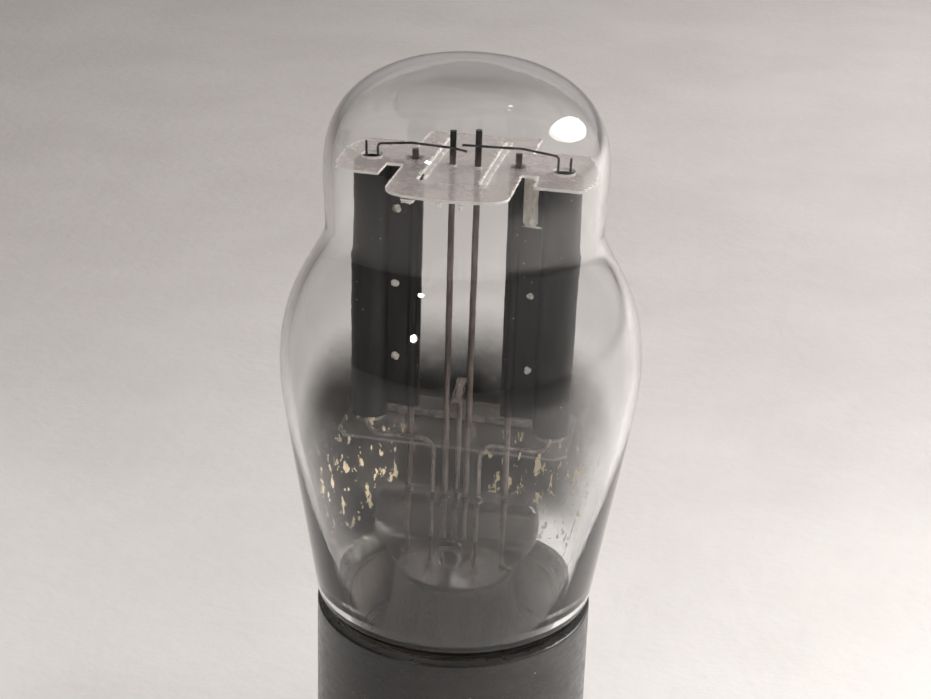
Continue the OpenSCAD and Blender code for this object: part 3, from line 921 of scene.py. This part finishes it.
def make_flare():
    """The stem's flare, melted to the foot of the neck at its lip."""
    lip_r = NECK_R - GLASS_WALL - 0.01
    lip, wall = 1.2, 1.1
    slope_r = lip_r - 0.59
    upper = [(lip_r, NECK_FOOT), (lip_r, NECK_FOOT + lip)]
    slope = pull_curve((slope_r, NECK_FOOT + lip + 0.2), (-9, 1), (STEM_R, PRESS_LOW), (0, 14), 30)
    slope.append((STEM_R, PRESS_LOW))
    lower = inset(slope, wall)
    outline = upper + slope + [(STEM_R - wall, PRESS_LOW)] + lower[:-1][::-1]
    outline.append((slope_r, NECK_FOOT))
    finish_piece(lathe("stem_flare_glass", outline, STEM_GLASS, turns=120), "stem_glass",
                 "stem_flare")


def make_press():
    """The pinched top of the stem: round below, a flat fan above, with a blow hole in front."""
    half_wide, half_thick, top = 10.5, 2.3, PRESS_TOP
    rows, sides = 40, 96
    points = []
    for row in range(rows + 1):
        level = PRESS_LOW + (top - PRESS_LOW) * (row / rows)
        fanned = smooth_step(PRESS_LOW, SLAB_LOW + 0.6, level)
        pinch = smooth_step(PRESS_LOW - 0.6, SLAB_LOW, level)
        edge = smooth_step(top - 1.0, top + 0.15, level)
        wide = STEM_R + (half_wide - STEM_R) * fanned - 1.0 * edge
        thick = STEM_R + (half_thick - STEM_R) * pinch - 0.8 * edge
        power = 2 + 2.2 * pinch
        for side in range(sides):
            angle = 2 * math.pi * side / sides
            c, s = math.cos(angle), math.sin(angle)
            x = wide * math.copysign(abs(c) ** (2 / power), c)
            y = thick * math.copysign(abs(s) ** (2 / power), s)
            lump = noise.noise(Vector((x, y, level)) * 0.33 + Vector((3.3, 0.7, 1.9)))
            points.append(at(x * (1 + 0.05 * lump * fanned), y * (1 + 0.1 * lump * pinch), level))
    faces = grid_faces(rows + 1, sides, round_columns=True)
    faces.append(tuple(range(sides))[::-1])
    faces.append(tuple(range(rows * sides, (rows + 1) * sides)))
    piece = add_mesh("pinched_press", points, faces, STEM_GLASS)
    cutter = lathe("port_cutter", [(0.0, 0.0), (1.5, 0.0), (1.5, 8.0), (0.0, 8.0)], STEM_GLASS,
                   turns=40)
    for vertex in cutter.data.vertices:
        x, y, z = vertex.co
        vertex.co = (x, -1.9 * MM - (z - RIM), RIM + PORT_LEVEL * MM + y)
    seal(cutter.data)
    piece = cut_away(piece, cutter)
    sharpen(piece.data, 40)
    finish_piece(piece, "stem_glass", "stem_press")


def make_port_lip():
    """A melted ring round the blow hole."""
    count, ring = 48, 12
    points = []
    for turn in range(count):
        angle = 2 * math.pi * turn / count
        swell = 0.34 + 0.07 * noise.noise(Vector((math.cos(angle), math.sin(angle), 0)) * 2.2)
        for side in range(ring):
            tilt = 2 * math.pi * side / ring
            r = 1.62 + swell * math.cos(tilt)
            y = -4.35 + 0.16 * math.cos(2 * angle) + swell * math.sin(tilt)
            points.append(at(r * math.cos(angle), y, PORT_LEVEL + r * math.sin(angle)))
    piece = add_mesh("port_lip", points, grid_faces(count, ring, True, True, True), STEM_GLASS)
    finish_piece(piece, "stem_glass")


def make_exhaust_tube():
    """The tube the bulb was pumped through, melted shut at its lower end."""
    outer, bore, length = 2.1, 1.3, 15.0
    foot = PRESS_LOW - length
    outline = arc_points((0, foot), outer, -90, 0, 8)
    outline += [(outer, PRESS_LOW), (bore, PRESS_LOW), (bore, foot + 0.9), (bore * 0.7, foot + 0.1),
                (0.0, foot - 0.6)]
    finish_piece(lathe("sealed_exhaust_tube", outline, STEM_GLASS, turns=48), "stem_glass",
                 "exhaust_tube")


make_bulb()
make_getter_film()
make_flare()
make_press()
make_port_lip()
make_exhaust_tube()


# ---------------------------------------------------------------- anodes


def anode_section():
    """The middle of the sheet, from the wing's edge round the tube and back.

    The third value of a point says how far it belongs to the wing.
    """
    edge_x, ply_y, tube_r, grip_r = 5.15, 0.15, ANODE_R - 0.11, ROD_R + 0.11
    path = [(edge_x + 0.17 * step, -ply_y, 1.0) for step in range(3)]
    grip_start = math.asin(ply_y / grip_r)
    for step in range(11):
        angle = math.pi + grip_start + (math.pi - 2 * grip_start) * step / 10
        path.append((ANODE_ROD_X + grip_r * math.cos(angle), grip_r * math.sin(angle), 1.0))
    start_x = path[-1][0]
    joint = math.asin(ply_y / tube_r)
    joint_x = ANODE_X - tube_r * math.cos(joint)
    for step in range(1, 10):
        path.append((start_x + (joint_x - 0.06 - start_x) * step / 9, -ply_y, 1.0))
    back_ply = [(x, -y, wing) for x, y, wing in path[::-1]]
    for step in range(73):
        angle = math.pi + joint + (2 * math.pi - 2 * joint) * step / 72
        path.append((ANODE_X + tube_r * math.cos(angle), tube_r * math.sin(angle), 0.0))
    return path + back_ply


def make_anode(side, name, node):
    """One folded sheet: its wings are a little warped and start higher than the tube."""
    section = anode_section()
    rows, wing_lift = 64, 1.3
    points = []
    for row in range(rows + 1):
        for x, y, wing in section:
            low = ANODE_LOW + wing_lift * wing
            level = low + (ANODE_TOP - low) * (row / rows)
            sway = noise.noise(Vector((x * 0.25, side * 3.0, level * 0.11)))
            free = smooth_step(0, 4.5, ANODE_X - ANODE_R - x)
            dent = 0.03 * noise.noise(Vector((x * 0.8, y * 0.8 + side, level * 0.16)))
            points.append(at(side * (x + (1 - wing) * dent),
                             y + 0.07 * sway * free + (1 - wing) * dent, level))
    piece = add_mesh(name, points, grid_faces(rows + 1, len(section)), CARBONISED, tidy=False)
    piece = thicken(piece, 0.21)
    seal(piece.data)
    sharpen(piece.data, 45)
    finish_piece(piece, "carbonised_nickel", node)


def make_strap(side, name, node):
    """A nickel tab welded to the wing, which runs up to the mica. The left one is given the anodes'
    black coat as painted shade, the right one is bright nickel.
    """
    low, high = levels_of(node)
    left, right, face_y = 7.0, 8.75, -0.35
    rows, columns = 24, 8
    points = []
    for row in range(rows + 1):
        share = row / rows
        level = low + (high - low - 0.02) * share
        for column in range(columns + 1):
            across = column / columns
            corner = 0.5 * max(0.0, 1 - share * (high - low) / 0.5) * abs(2 * across - 1) ** 3
            x = left + (right - left) * across
            x += corner * (1 if across < 0.5 else -1)
            bulge = 0.05 * math.sin(math.pi * share) + 0.02 * noise.noise(
                Vector((x, level * 0.7, side * 2)))
            points.append(at(side * x, face_y - bulge, level))
    # Painted shade: the left tab takes the anodes' black coat instead of bright nickel.
    finish = CARBONISED if side < 0 else BRIGHT_NICKEL
    piece = add_mesh(name, points, grid_faces(rows + 1, columns + 1), finish, tidy=False)
    piece = soften_edges(thicken(piece, 0.17), 0.03)
    seal(piece.data)
    sharpen(piece.data, 45)
    finish_piece(piece, "bright_nickel", node)


def build_weld_beads():
    """Puts a squashed, uneven bead on each point given."""
    group, entry, leave = start_group(
        "weld_beads", {"Places": "Geometry", "Radius": 0.0005, "Flatness": 0.35,
                       "Unevenness": 0.0001, "Seed": 1, "Material": "Material"},
        {"Beads": "Geometry"}, "GeometryNodeTree")
    ball = add_node(group, "GeometryNodeMeshIcoSphere",
                    {"Radius": entry["Radius"], "Subdivisions": 4})
    flat = add_node(group, "ShaderNodeCombineXYZ", {"X": 1.0, "Y": entry["Flatness"], "Z": 1.0})
    width = add_node(group, "FunctionNodeRandomValue",
                     {"Min": 0.85, "Max": 1.15, "Seed": entry["Seed"]}, {"data_type": "FLOAT"})
    width_value = next(out for out in width.outputs if out.enabled)
    scatter = add_node(group, "GeometryNodeInstanceOnPoints",
                       {"Points": entry["Places"], "Instance": ball.outputs["Mesh"],
                        "Scale": scaled(group, flat.outputs[0], width_value)})
    real = add_node(group, "GeometryNodeRealizeInstances", {"Geometry": scatter.outputs[0]})
    place = add_node(group, "GeometryNodeInputPosition")
    cloud = add_node(group, "ShaderNodeTexNoise",
                     {"Vector": place.outputs[0], "Scale": 1600.0, "Detail": 2.0})
    centred = add_node(group, "ShaderNodeVectorMath",
                       {0: cloud.outputs["Color"], 1: Vector((0.5, 0.5, 0.5))},
                       {"operation": "SUBTRACT"})
    shift = add_node(group, "GeometryNodeSetPosition",
                     {"Geometry": real.outputs[0],
                      "Offset": scaled(group, centred.outputs[0], entry["Unevenness"])})
    shade = add_node(group, "GeometryNodeSetShadeSmooth", {"Geometry": shift.outputs[0]})
    group.links.new(paint(group, shade.outputs[0], entry["Material"]), leave["Beads"])
    return group


WELD_BEADS = build_weld_beads()


def make_weld_beads(side, name, node):
    """Three beads on each face of a wing. The top front one holds the strap."""
    weld_x, face_y, strap_y = 8.3, 0.26, 0.46
    bottom, top = ANODE_LOW + 7.85, ANODE_TOP - 5.56
    points = []
    for level in (bottom, (bottom + top) / 2, top):
        for face in (-1, 1):
            depth = strap_y if face < 0 and level == top else face_y
            shift = 0.12 * noise.noise(Vector((level, face, side)) * 1.7)
            points.append(at(side * (weld_x + shift), face * depth, level))
    places = add_mesh(name, points, [], WELD_NICKEL, tidy=False)
    made = run_tree(places, WELD_BEADS, {"Radius": 0.5 * MM, "Flatness": 0.3,
                                         "Unevenness": 0.45 * MM, "Seed": 5 + side,
                                         "Material": WELD_NICKEL})
    finish_piece(made, "bright_nickel", node)


for side, word in SIDES:
    make_anode(side, f"{word}_anode_sheet", f"{word}_anode")
    make_strap(side, f"{word}_strap_tab", f"{word}_anode_strap")
    make_weld_beads(side, f"{word}_weld_beads", f"{word}_anode_welds")


# ---------------------------------------------------------------- micas


def top_mica_outline():
    """Half of the spacer's outline, on the +X side, from the front to the back."""
    corner, front, back = 2.4, 13.7, 12.4
    tooth, teeth = 0.35, 15
    tab_half, notch_front, notch_back = 6.5, 2.8, 5.4
    end = math.degrees(math.asin(tab_half / MICA_REACH))
    half = [(0.0, -front), (MICA_SIDE - corner, -front + 0.6)]
    half += arc_points((MICA_SIDE - corner, -front + 0.8 + corner), corner, -75, 0, 12)
    half += [(MICA_SIDE, -notch_front), (TAB_INNER, -notch_front), (TAB_INNER, -tab_half)]
    for step in range(2 * teeth + 1):
        angle = math.radians(-end + 2 * end * step / (2 * teeth))
        r = MICA_REACH if step % 2 else MICA_REACH - tooth
        half.append((r * math.cos(angle), r * math.sin(angle)))
    half += [(TAB_INNER, tab_half), (TAB_INNER, notch_back), (MICA_SIDE, notch_back)]
    half += [(MICA_SIDE, back - 0.5), (MICA_SIDE - 0.5, back), (0.0, back)]
    return half


def shake(x, y, seed):
    """A small shift of a place, the same on every run, which noise_vector isn't."""
    place, finer_place = Vector((x, y, seed)) * 0.9, Vector((x, y, seed + 7)) * 3.7
    shifts = []
    for offset in (Vector((9.3, -1.5, -7.9)), Vector((0.0, 0.0, 0.0))):
        coarse, fine = noise.noise(place + offset), noise.noise(finer_place + offset)
        shifts.append(coarse + 0.6 * fine)
    return shifts


def frayed(points, spacing, amount, seed):
    """A closed outline with points added and shifted a little, as a punched edge is."""
    rough = []
    for (x0, y0), (x1, y1) in zip(points, points[1:] + points[:1]):
        steps = max(1, round(math.hypot(x1 - x0, y1 - y0) / spacing))
        for step in range(steps):
            share = step / steps
            x, y = x0 + (x1 - x0) * share, y0 + (y1 - y0) * share
            drift_x, drift_y = shake(x, y, seed)
            rough.append((x + amount * drift_x, y + amount * drift_y))
    return rough


def sheet_with_holes(name, outline, holes, low, high, material):
    """A flat sheet cut to an outline, with holes through it."""
    work = bmesh.new()
    edges = []
    for loop in [outline] + holes:
        ring = [work.verts.new(at(x, y, low)) for x, y in loop]
        for index, vertex in enumerate(ring):
            edges.append(work.edges.new((vertex, ring[(index + 1) % len(ring)])))
    bmesh.ops.triangle_fill(work, edges=edges, use_beauty=True, use_dissolve=False)
    grown = bmesh.ops.extrude_face_region(work, geom=list(work.faces))
    lifted = [item for item in grown["geom"] if isinstance(item, bmesh.types.BMVert)]
    bmesh.ops.translate(work, verts=lifted, vec=(0, 0, (high - low) * MM))
    bmesh.ops.recalc_face_normals(work, faces=work.faces)
    mesh = bpy.data.meshes.new(name)
    work.to_mesh(mesh)
    work.free()
    mesh.materials.append(material)
    return add_object(name, mesh)


def round_hole(x, y, radius, count=24):
    """A hole of so many points."""
    return arc_points((x, y), radius, 0, 360 - 360 / count, count - 1)


def slot_outline(x):
    """A long slot with rounded ends."""
    low, high = SLOT_Y
    points = arc_points((x, low + SLOT_HALF_W), SLOT_HALF_W, 180, 360, 8)
    points += arc_points((x, high - SLOT_HALF_W), SLOT_HALF_W, 0, 180, 8)
    return points


def make_top_mica():
    half = top_mica_outline()
    outline = half + [(-x, y) for x, y in half[::-1][1:-1]]
    holes = []
    for side, _ in SIDES:
        holes.append(round_hole(side * ANODE_X, 0, 1.33, 60))
        holes.append(round_hole(side * ANODE_ROD_X, 0, ROD_R + 0.08))
        holes.append(round_hole(side * CENTRE_ROD_X, CENTRE_ROD_Y, ROD_R + 0.08))
    for x in SLOT_XS:
        holes.append(frayed(slot_outline(x), 0.3, 0.07, x))
    piece = sheet_with_holes("spacer_mica_sheet", frayed(outline, 0.35, 0.08, 1.0), holes,
                             MICA_LOW, MICA_TOP, TOP_MICA)
    finish_piece(piece, "mica", "top_mica")


def make_bottom_mica():
    end, cut, depth = 14.2, 1.4, 6.5
    outline = [(end, cut - depth), (end, depth - cut), (end - cut, depth), (cut - end, depth),
               (-end, depth - cut), (-end, cut - depth), (cut - end, -depth), (end - cut, -depth)]
    holes = []
    foot_x = (CENTRE_ROD_X + CENTRE_ROD_FOOT) / 2
    for side, _ in SIDES:
        holes.append(round_hole(side * ANODE_X, 0, 1.9, 60))
        holes.append(round_hole(side * ANODE_ROD_X, 0, ROD_R + 0.08))
        holes.append(round_hole(side * foot_x, CENTRE_ROD_Y, ROD_R + 0.14))
    holes.append(round_hole(0, GETTER_Y, LEAD_R + 0.07, 18))
    piece = sheet_with_holes("strip_mica_sheet", frayed(outline, 0.4, 0.06, 4.0), holes,
                             STRIP_TOP - 0.35, STRIP_TOP, STRIP_MICA)
    finish_piece(piece, "mica", "bottom_mica")


def build_burrs():
    """Scatters torn slivers along a cut, each leaning its own way."""
    group, entry, leave = start_group(
        "torn_burrs", {"Cut": "Geometry", "Spacing": 0.0003, "Sliver": 0.0004,
                       "Scatter": 0.0001, "Seed": 3, "Material": "Material"},
        {"Burrs": "Geometry"}, "GeometryNodeTree")

    def random_vector(low, high):
        inputs = {"Min": low, "Max": high, "Seed": entry["Seed"]}
        settings = {"data_type": "FLOAT_VECTOR"}
        return add_node(group, "FunctionNodeRandomValue", inputs, settings).outputs["Value"]

    line = add_node(group, "GeometryNodeResampleCurve",
                    {"Curve": entry["Cut"], "Length": entry["Spacing"]}, {"mode": "LENGTH"})
    points = add_node(group, "GeometryNodeCurveToPoints", {"Curve": line.outputs[0]},
                      {"mode": "EVALUATED"})
    drift = random_vector((-1, -1, -0.4), (1, 1, 0.6))
    moved = add_node(group, "GeometryNodeSetPosition",
                     {"Geometry": points.outputs["Points"],
                      "Offset": scaled(group, drift, entry["Scatter"])})
    sliver = add_node(group, "GeometryNodeMeshCone",
                      {"Vertices": 5, "Radius Top": 0.00002, "Radius Bottom": 0.00013,
                       "Depth": entry["Sliver"]})
    scatter = add_node(group, "GeometryNodeInstanceOnPoints",
                       {"Points": moved.outputs[0], "Instance": sliver.outputs["Mesh"],
                        "Rotation": random_vector((0.9, -0.5, 0), (2.2, 0.5, 6.283)),
                        "Scale": random_vector((0.3, 0.3, 0.3), (1.0, 1.1, 1.3))})
    group.links.new(paint(group, scatter.outputs[0], entry["Material"]), leave["Burrs"])
    return group


TORN_BURRS = build_burrs()


def make_burrs(name, cuts, level, spacing, sliver, scatter, seed):
    """Burrs along open cuts, given as lists of places on the sheet."""
    lines = add_lines(name, [[(x, y, level) for x, y in cut] for cut in cuts])
    made = run_tree(lines, TORN_BURRS, {"Spacing": spacing * MM, "Sliver": sliver * MM,
                                        "Scatter": scatter * MM, "Seed": seed,
                                        "Material": MICA_BURR})
    finish_piece(made, "mica")


def make_flake(name, x, y, width, drop, lean, seed):
    """A loose leaf of mica that peels down from the front edge."""
    rng = random.Random(seed)
    columns, rows = 7, 5
    points = []
    for row in range(rows + 1):
        share = row / rows
        for column in range(columns + 1):
            across = column / columns - 0.5
            torn = 1 - 0.45 * rng.random() * share
            curl = 0.25 * drop * share**2
            points.append(at(x + width * across * (1 - 0.35 * share) + 0.1 * rng.random(),
                             y - lean * share + curl * across,
                             MICA_LOW - 0.02 - drop * share * torn))
    piece = add_mesh(name, points, grid_faces(rows + 1, columns + 1), TOP_MICA, tidy=False)
    finish_piece(thicken(piece, 0.04, -1), "mica")


make_top_mica()
make_bottom_mica()
slot_edges = [x + edge * SLOT_HALF_W for x in SLOT_XS for edge in (-1, 1)]
slot_cuts = [[(x, SLOT_Y[0] + 0.3), (x, SLOT_Y[1] - 0.3)] for x in slot_edges]
make_burrs("slot_burrs", slot_cuts, MICA_TOP, 0.12, 0.32, 0.05, 3)
edge_cuts = [[(MICA_SIDE, -10.8), (MICA_SIDE, -2.9)], [(MICA_SIDE, 5.6), (MICA_SIDE, 11.6)],
             [(TAB_INNER, -6.4), (TAB_INNER, -3.0)],
             arc_points((0, 0), MICA_REACH - 0.15, -22, 22, 12)]
make_burrs("edge_burrs", edge_cuts, MICA_TOP - 0.08, 0.2, 0.36, 0.07, 8)
make_flake("wide_flake", -3.9, -13.4, 1.7, 0.5, 0.3, 2)
make_flake("middle_flake", -0.4, -13.55, 0.6, 0.75, 0.2, 5)
make_flake("right_flake", 2.1, -13.6, 0.55, 0.8, 0.15, 9)


# ---------------------------------------------------------------- rods and wires


def make_rods():
    for (side, word), top, centre_top in zip(SIDES, (1.3, 1.8), (4.3, 4.6)):
        x, foot_x, centre_x = side * ANODE_ROD_X, side * CENTRE_ROD_FOOT, side * CENTRE_ROD_X
        rod = wire(f"{word}_support_rod", [(x, 0, SLAB_LOW), (x, 0, MICA_MID + top)], ROD_R, 0.1,
                   ROD_NICKEL, sides=24)
        finish_piece(rod, "nickel", f"{word}_anode_rod")
        route = [(foot_x, CENTRE_ROD_Y, SLAB_LOW), (foot_x, CENTRE_ROD_Y, PRESS_TOP + 1),
                 (centre_x, CENTRE_ROD_Y, MICA_MID - 2),
                 (centre_x, CENTRE_ROD_Y, MICA_MID + centre_top)]
        rod = wire(f"{word}_inner_rod", route, ROD_R - 0.01, 3.0, ROD_NICKEL, sides=24)
        finish_piece(rod, "nickel", f"{word}_centre_rod")


def make_hooks():
    """Each spring hook hangs in the mica's hole, and its arm is welded to a centre rod."""
    half, drop, arm_y = 0.72, 2.0, CENTRE_ROD_Y - ROD_R - HOOK_R
    for (side, word), rise, weld, dip in zip(SIDES, (1.5, 1.85), (2.3, 2.8), (0.25, 0.0)):
        top, weld_z = MICA_MID + rise, MICA_MID + weld
        route = [(side * (ANODE_X + half), 0, MICA_MID + 1.75),
                 (side * (ANODE_X + half), 0, MICA_MID - drop),
                 (side * (ANODE_X - half), 0, MICA_MID - drop),
                 (side * (ANODE_X - half), 0, top),
                 (side * (ANODE_X + CENTRE_ROD_X) / 2, arm_y / 2, (top + weld_z) / 2 + 0.35),
                 (side * CENTRE_ROD_X, arm_y, weld_z),
                 (side * (CENTRE_ROD_X - 1.8), arm_y - 0.15, weld_z - dip)]
        hook = wire(f"{word}_spring_arm", route, HOOK_R, 0.5, SPRING_WIRE, sides=14)
        finish_piece(hook, "spring_wire", f"{word}_spring_hook")


def make_filaments():
    """Each filament is a coated strand folded in two, and its front leg meets a bent lead."""
    leg, radius = 0.9, 0.15
    low, high = STRIP_TOP + 0.4, MICA_MID - 1.7
    riser_y, turn = -leg - radius - LEAD_R, ANODE_LOW - 2.5
    for side, word in SIDES:
        x, lead_x = side * ANODE_X, side * LEAD_X
        route = [(x, leg, low), (x, 0.3, high), (x, -0.3, high), (x, -leg, low)]
        coated = wire(f"{word}_coated_filament", route, radius, 0.25, OXIDE, sides=14)
        finish_piece(coated, "filament_coating", f"{word}_filament")
        route = [(lead_x, CENTRE_ROD_Y, SLAB_LOW), (lead_x, CENTRE_ROD_Y, turn),
                 (x, riser_y, turn), (x, riser_y, ANODE_LOW + 0.6)]
        lead = wire(f"{word}_lead_wire", route, LEAD_R - 0.01, 1.9, LEAD_NICKEL)
        finish_piece(lead, "nickel", f"{word}_filament_lead")


def make_tails():
    """Lower ends of the leads, from the press through the base and down the pins."""
    high, turn = PRESS_LOW - 3, FLOOR_TOP + 6
    for side, word in SIDES:
        for part, row, from_x, from_y in (("filament", -1, LEAD_X, CENTRE_ROD_Y),
                                          ("anode", 1, ANODE_ROD_X, 0)):
            x, y = pin_place(side, row)
            route = [(side * from_x, from_y, SLAB_LOW - 0.05), (side * from_x, from_y, high),
                     (x, y, turn), (x, y, PIN_FOOT + 0.8)]
            tail = wire(f"{word}_{part}_wire_end", route, LEAD_R - 0.02, 2.0, TAIL_WIRE, sides=14)
            finish_piece(tail, "tail_wire", f"{word}_{part}_tail")


def make_lead_glass():
    """Glass drawn a little way up round each wire where it leaves the press."""
    places = [(side * x, y, radius) for x, y, radius in (
        (ANODE_ROD_X, 0.0, ROD_R), (CENTRE_ROD_FOOT, CENTRE_ROD_Y, ROD_R),
        (LEAD_X, CENTRE_ROD_Y, LEAD_R)) for side in (-1, 1)] + [(0, GETTER_Y, LEAD_R)]
    for index, (x, y, radius) in enumerate(places):
        outline = []
        for step in range(9):
            share = step / 8
            outline.append((radius + 0.04 + 0.55 * (1 - share) ** 2.2,
                            PRESS_TOP - 0.25 + 1.0 * share))
        outline += [(radius + 0.01, PRESS_TOP + 0.75), (radius + 0.01, PRESS_TOP - 0.25)]
        finish_piece(lathe(f"glass_collar_{index + 1}", outline, STEM_GLASS, turns=24,
                           centre=(x, y)), "stem_glass")


def make_getter():
    """The spent getter: a folded nickel channel on its own wire."""
    post = wire("getter_post", [(0, GETTER_Y, SLAB_LOW), (0, GETTER_Y, ANODE_LOW + 4.8)], LEAD_R,
                0.1, LEAD_NICKEL)
    finish_piece(post, "nickel", "getter_wire")
    low, high = ANODE_LOW + 2.4, ANODE_LOW + 5.8
    back, front, half, wall = -0.1, -1.0, 0.64, 0.18
    section = [(-half, front), (-half, back), (half, back), (half, front),
               (half - wall, front), (half - wall, back - wall), (-half + wall, back - wall),
               (-half + wall, front)]
    rows, count = 14, len(section)
    points = []
    for row in range(rows + 1):
        share = row / rows
        for x, y in section:
            crush = 0.09 * noise.noise(Vector((x * 1.3, y * 1.3, share * 3.1)))
            lean = 0.6 * (share - 0.5)
            points.append(at(x + crush + lean, y + 0.3 * crush, low + (high - low) * share))
    faces = grid_faces(rows + 1, count, round_columns=True)
    for start in (0, rows * count):
        for corner in range(3):
            faces.append((start + corner, start + corner + 1, start + 6 - corner,
                          start + 7 - corner))
    piece = add_mesh("getter_channel", points, faces, GETTER_NICKEL)
    piece = soften_edges(piece, 0.035)
    sharpen(piece.data, 40)
    finish_piece(piece, "bright_nickel", "getter_cup")


def make_link():
    """The ribbon on the bottom mica that joins the two back legs."""
    half, low_y, high_y, thick = 12.0, 0.6, 2.4, 0.2
    columns, rows = 60, 4
    points = []
    for column in range(columns + 1):
        x = -half + 2 * half * column / columns
        lift = 0.03 * (noise.noise(Vector((x * 0.4, 1.1, 0.3))) + 1)
        for row in range(rows + 1):
            y = low_y + (high_y - low_y) * row / rows
            points.append(at(x, y, STRIP_TOP + thick / 2 + lift))
    faces = grid_faces(columns + 1, rows + 1, flip=True)
    piece = thicken(add_mesh("link_ribbon", points, faces, LINK_NICKEL, tidy=False), thick - 0.02)
    sharpen(piece.data, 40)
    finish_piece(piece, "bright_nickel", "filament_link")


make_rods()
make_hooks()
make_filaments()
make_tails()
make_lead_glass()
make_getter()
make_link()


# ---------------------------------------------------------------- base and pins


def make_base():
    """The moulded shell, with a rounded rim, a soft lower edge and four pin holes."""
    foot, hole_gap = -SHELL_H, 0.2
    inner, edge, lip = SHELL_R - 1.9, 0.9, 0.35
    outline = [(0.0, foot), (SHELL_R - edge, foot)]
    outline += arc_points((SHELL_R - edge, foot + edge), edge, -80, 0, 8)
    for step in range(1, 24):
        outline.append((SHELL_R, foot + edge + (SHELL_H - edge - lip) * step / 24))
    outline += arc_points((SHELL_R - lip, -lip), lip, 0, 90, 6)
    outline += [(inner + 0.75, 0.0), (inner + 0.3, -0.5), (inner, -1.8), (inner, FLOOR_TOP + 0.8),
                (inner - 0.8, FLOOR_TOP), (0.0, FLOOR_TOP)]
    piece = lathe("moulded_base", outline, BAKELITE, turns=160)
    for side, _ in SIDES:
        for row in (-1, 1):
            radius = PIN_RADII[row] - hole_gap
            profile = [(0.0, foot - 1), (radius, foot - 1), (radius, FLOOR_TOP + 1),
                       (0.0, FLOOR_TOP + 1)]
            piece = cut_away(piece, lathe("hole_cutter", profile, BAKELITE, turns=48,
                                          centre=pin_place(side, row)))
    sharpen(piece.data, 35)
    finish_piece(piece, "bakelite", "base_shell")


def make_cement():
    """Baked cement between glass and shell, rough on top."""
    inner, outer, low, top = NECK_R + 0.01, NECK_R + 0.94, -9.0, -1.75
    outline = [(inner, low), (outer, low), (outer, top)]
    for step in range(5):
        outline.append((outer + (inner - outer) * (step + 0.5) / 5, top - 0.12 * step * (4 - step)))
    outline.append((inner, top + 0.05))

    def crumble(r, z, angle):
        if z < -3:
            return r, z
        rough = noise.noise(Vector((math.cos(angle) * 6, math.sin(angle) * 6, r)))
        return r, z + 0.28 * rough - 0.1

    finish_piece(lathe("cement_ring", outline, CEMENT, turns=180, unround=crumble), "cement",
                 "base_cement")


def make_pins():
    """Hollow pins, each with a slimmer shank through the floor and a riveted collar on it."""
    tip, bore, seat = 0.9, 0.62, -SHELL_H
    for row, part in ((-1, "filament"), (1, "anode")):
        for side, word in SIDES:
            radius = PIN_RADII[row]
            outline = [(bore, PIN_FOOT + PIN_WALL), (bore, PIN_FOOT)]
            outline += arc_points((radius - tip, PIN_FOOT + tip), tip, -90, 0, 10)
            outline += [(radius, PIN_FOOT + tip + (seat - 0.4 - PIN_FOOT - tip) * step / 12)
                        for step in range(1, 13)]
            outline += [(radius - 0.2, seat - 0.4), (radius - 0.2, FLOOR_TOP),
                        (radius + 0.6, FLOOR_TOP), (radius + 0.6, FLOOR_TOP + 0.7),
                        (radius + 0.1, FLOOR_TOP + 1.1), (radius - PIN_WALL, FLOOR_TOP + 1.1),
                        (radius - PIN_WALL, PIN_FOOT + tip + PIN_WALL)]
            pin = lathe(f"{word}_{part}_contact_pin", outline, PIN_PLATE, turns=64,
                        centre=pin_place(side, row))
            sharpen(pin.data, 40)
            finish_piece(pin, "plated_pin", f"{word}_{part}_pin")


def make_solder():
    """A domed drop of solder in each pin's tip."""
    joined = bmesh.new()
    for side, _ in SIDES:
        for row in (-1, 1):
            fill = PIN_RADII[row] - PIN_WALL
            profile = [(0.0, 0.04), (0.3, 0.06), (0.52, 0.14), (0.61, 0.26), (0.61, 0.42),
                       (fill - 0.01, 1.33), (fill - 0.01, 2.9), (fill * 0.6, 3.15), (0.0, 3.3)]
            outline = [(r, PIN_FOOT + rise) for r, rise in profile]

            def slump(r, z, angle, shift=side * 3 + row):
                if z > PIN_FOOT + 0.2:
                    return r, z
                drop = 0.05 * noise.noise(Vector((r * math.cos(angle) * 3, r * 3, shift)))
                return r, z + abs(drop)

            part = lathe("solder_part", outline, SOLDER, turns=40, centre=pin_place(side, row),
                         closed=False, unround=slump)
            joined.from_mesh(part.data)
            bpy.data.objects.remove(part)
    mesh = bpy.data.meshes.new("solder_drops")
    joined.to_mesh(mesh)
    joined.free()
    mesh.materials.append(SOLDER)
    shade_smooth(mesh)
    finish_piece(add_object("solder_drops", mesh), "solder", "pin_solder")


make_base()
make_cement()
make_pins()
make_solder()
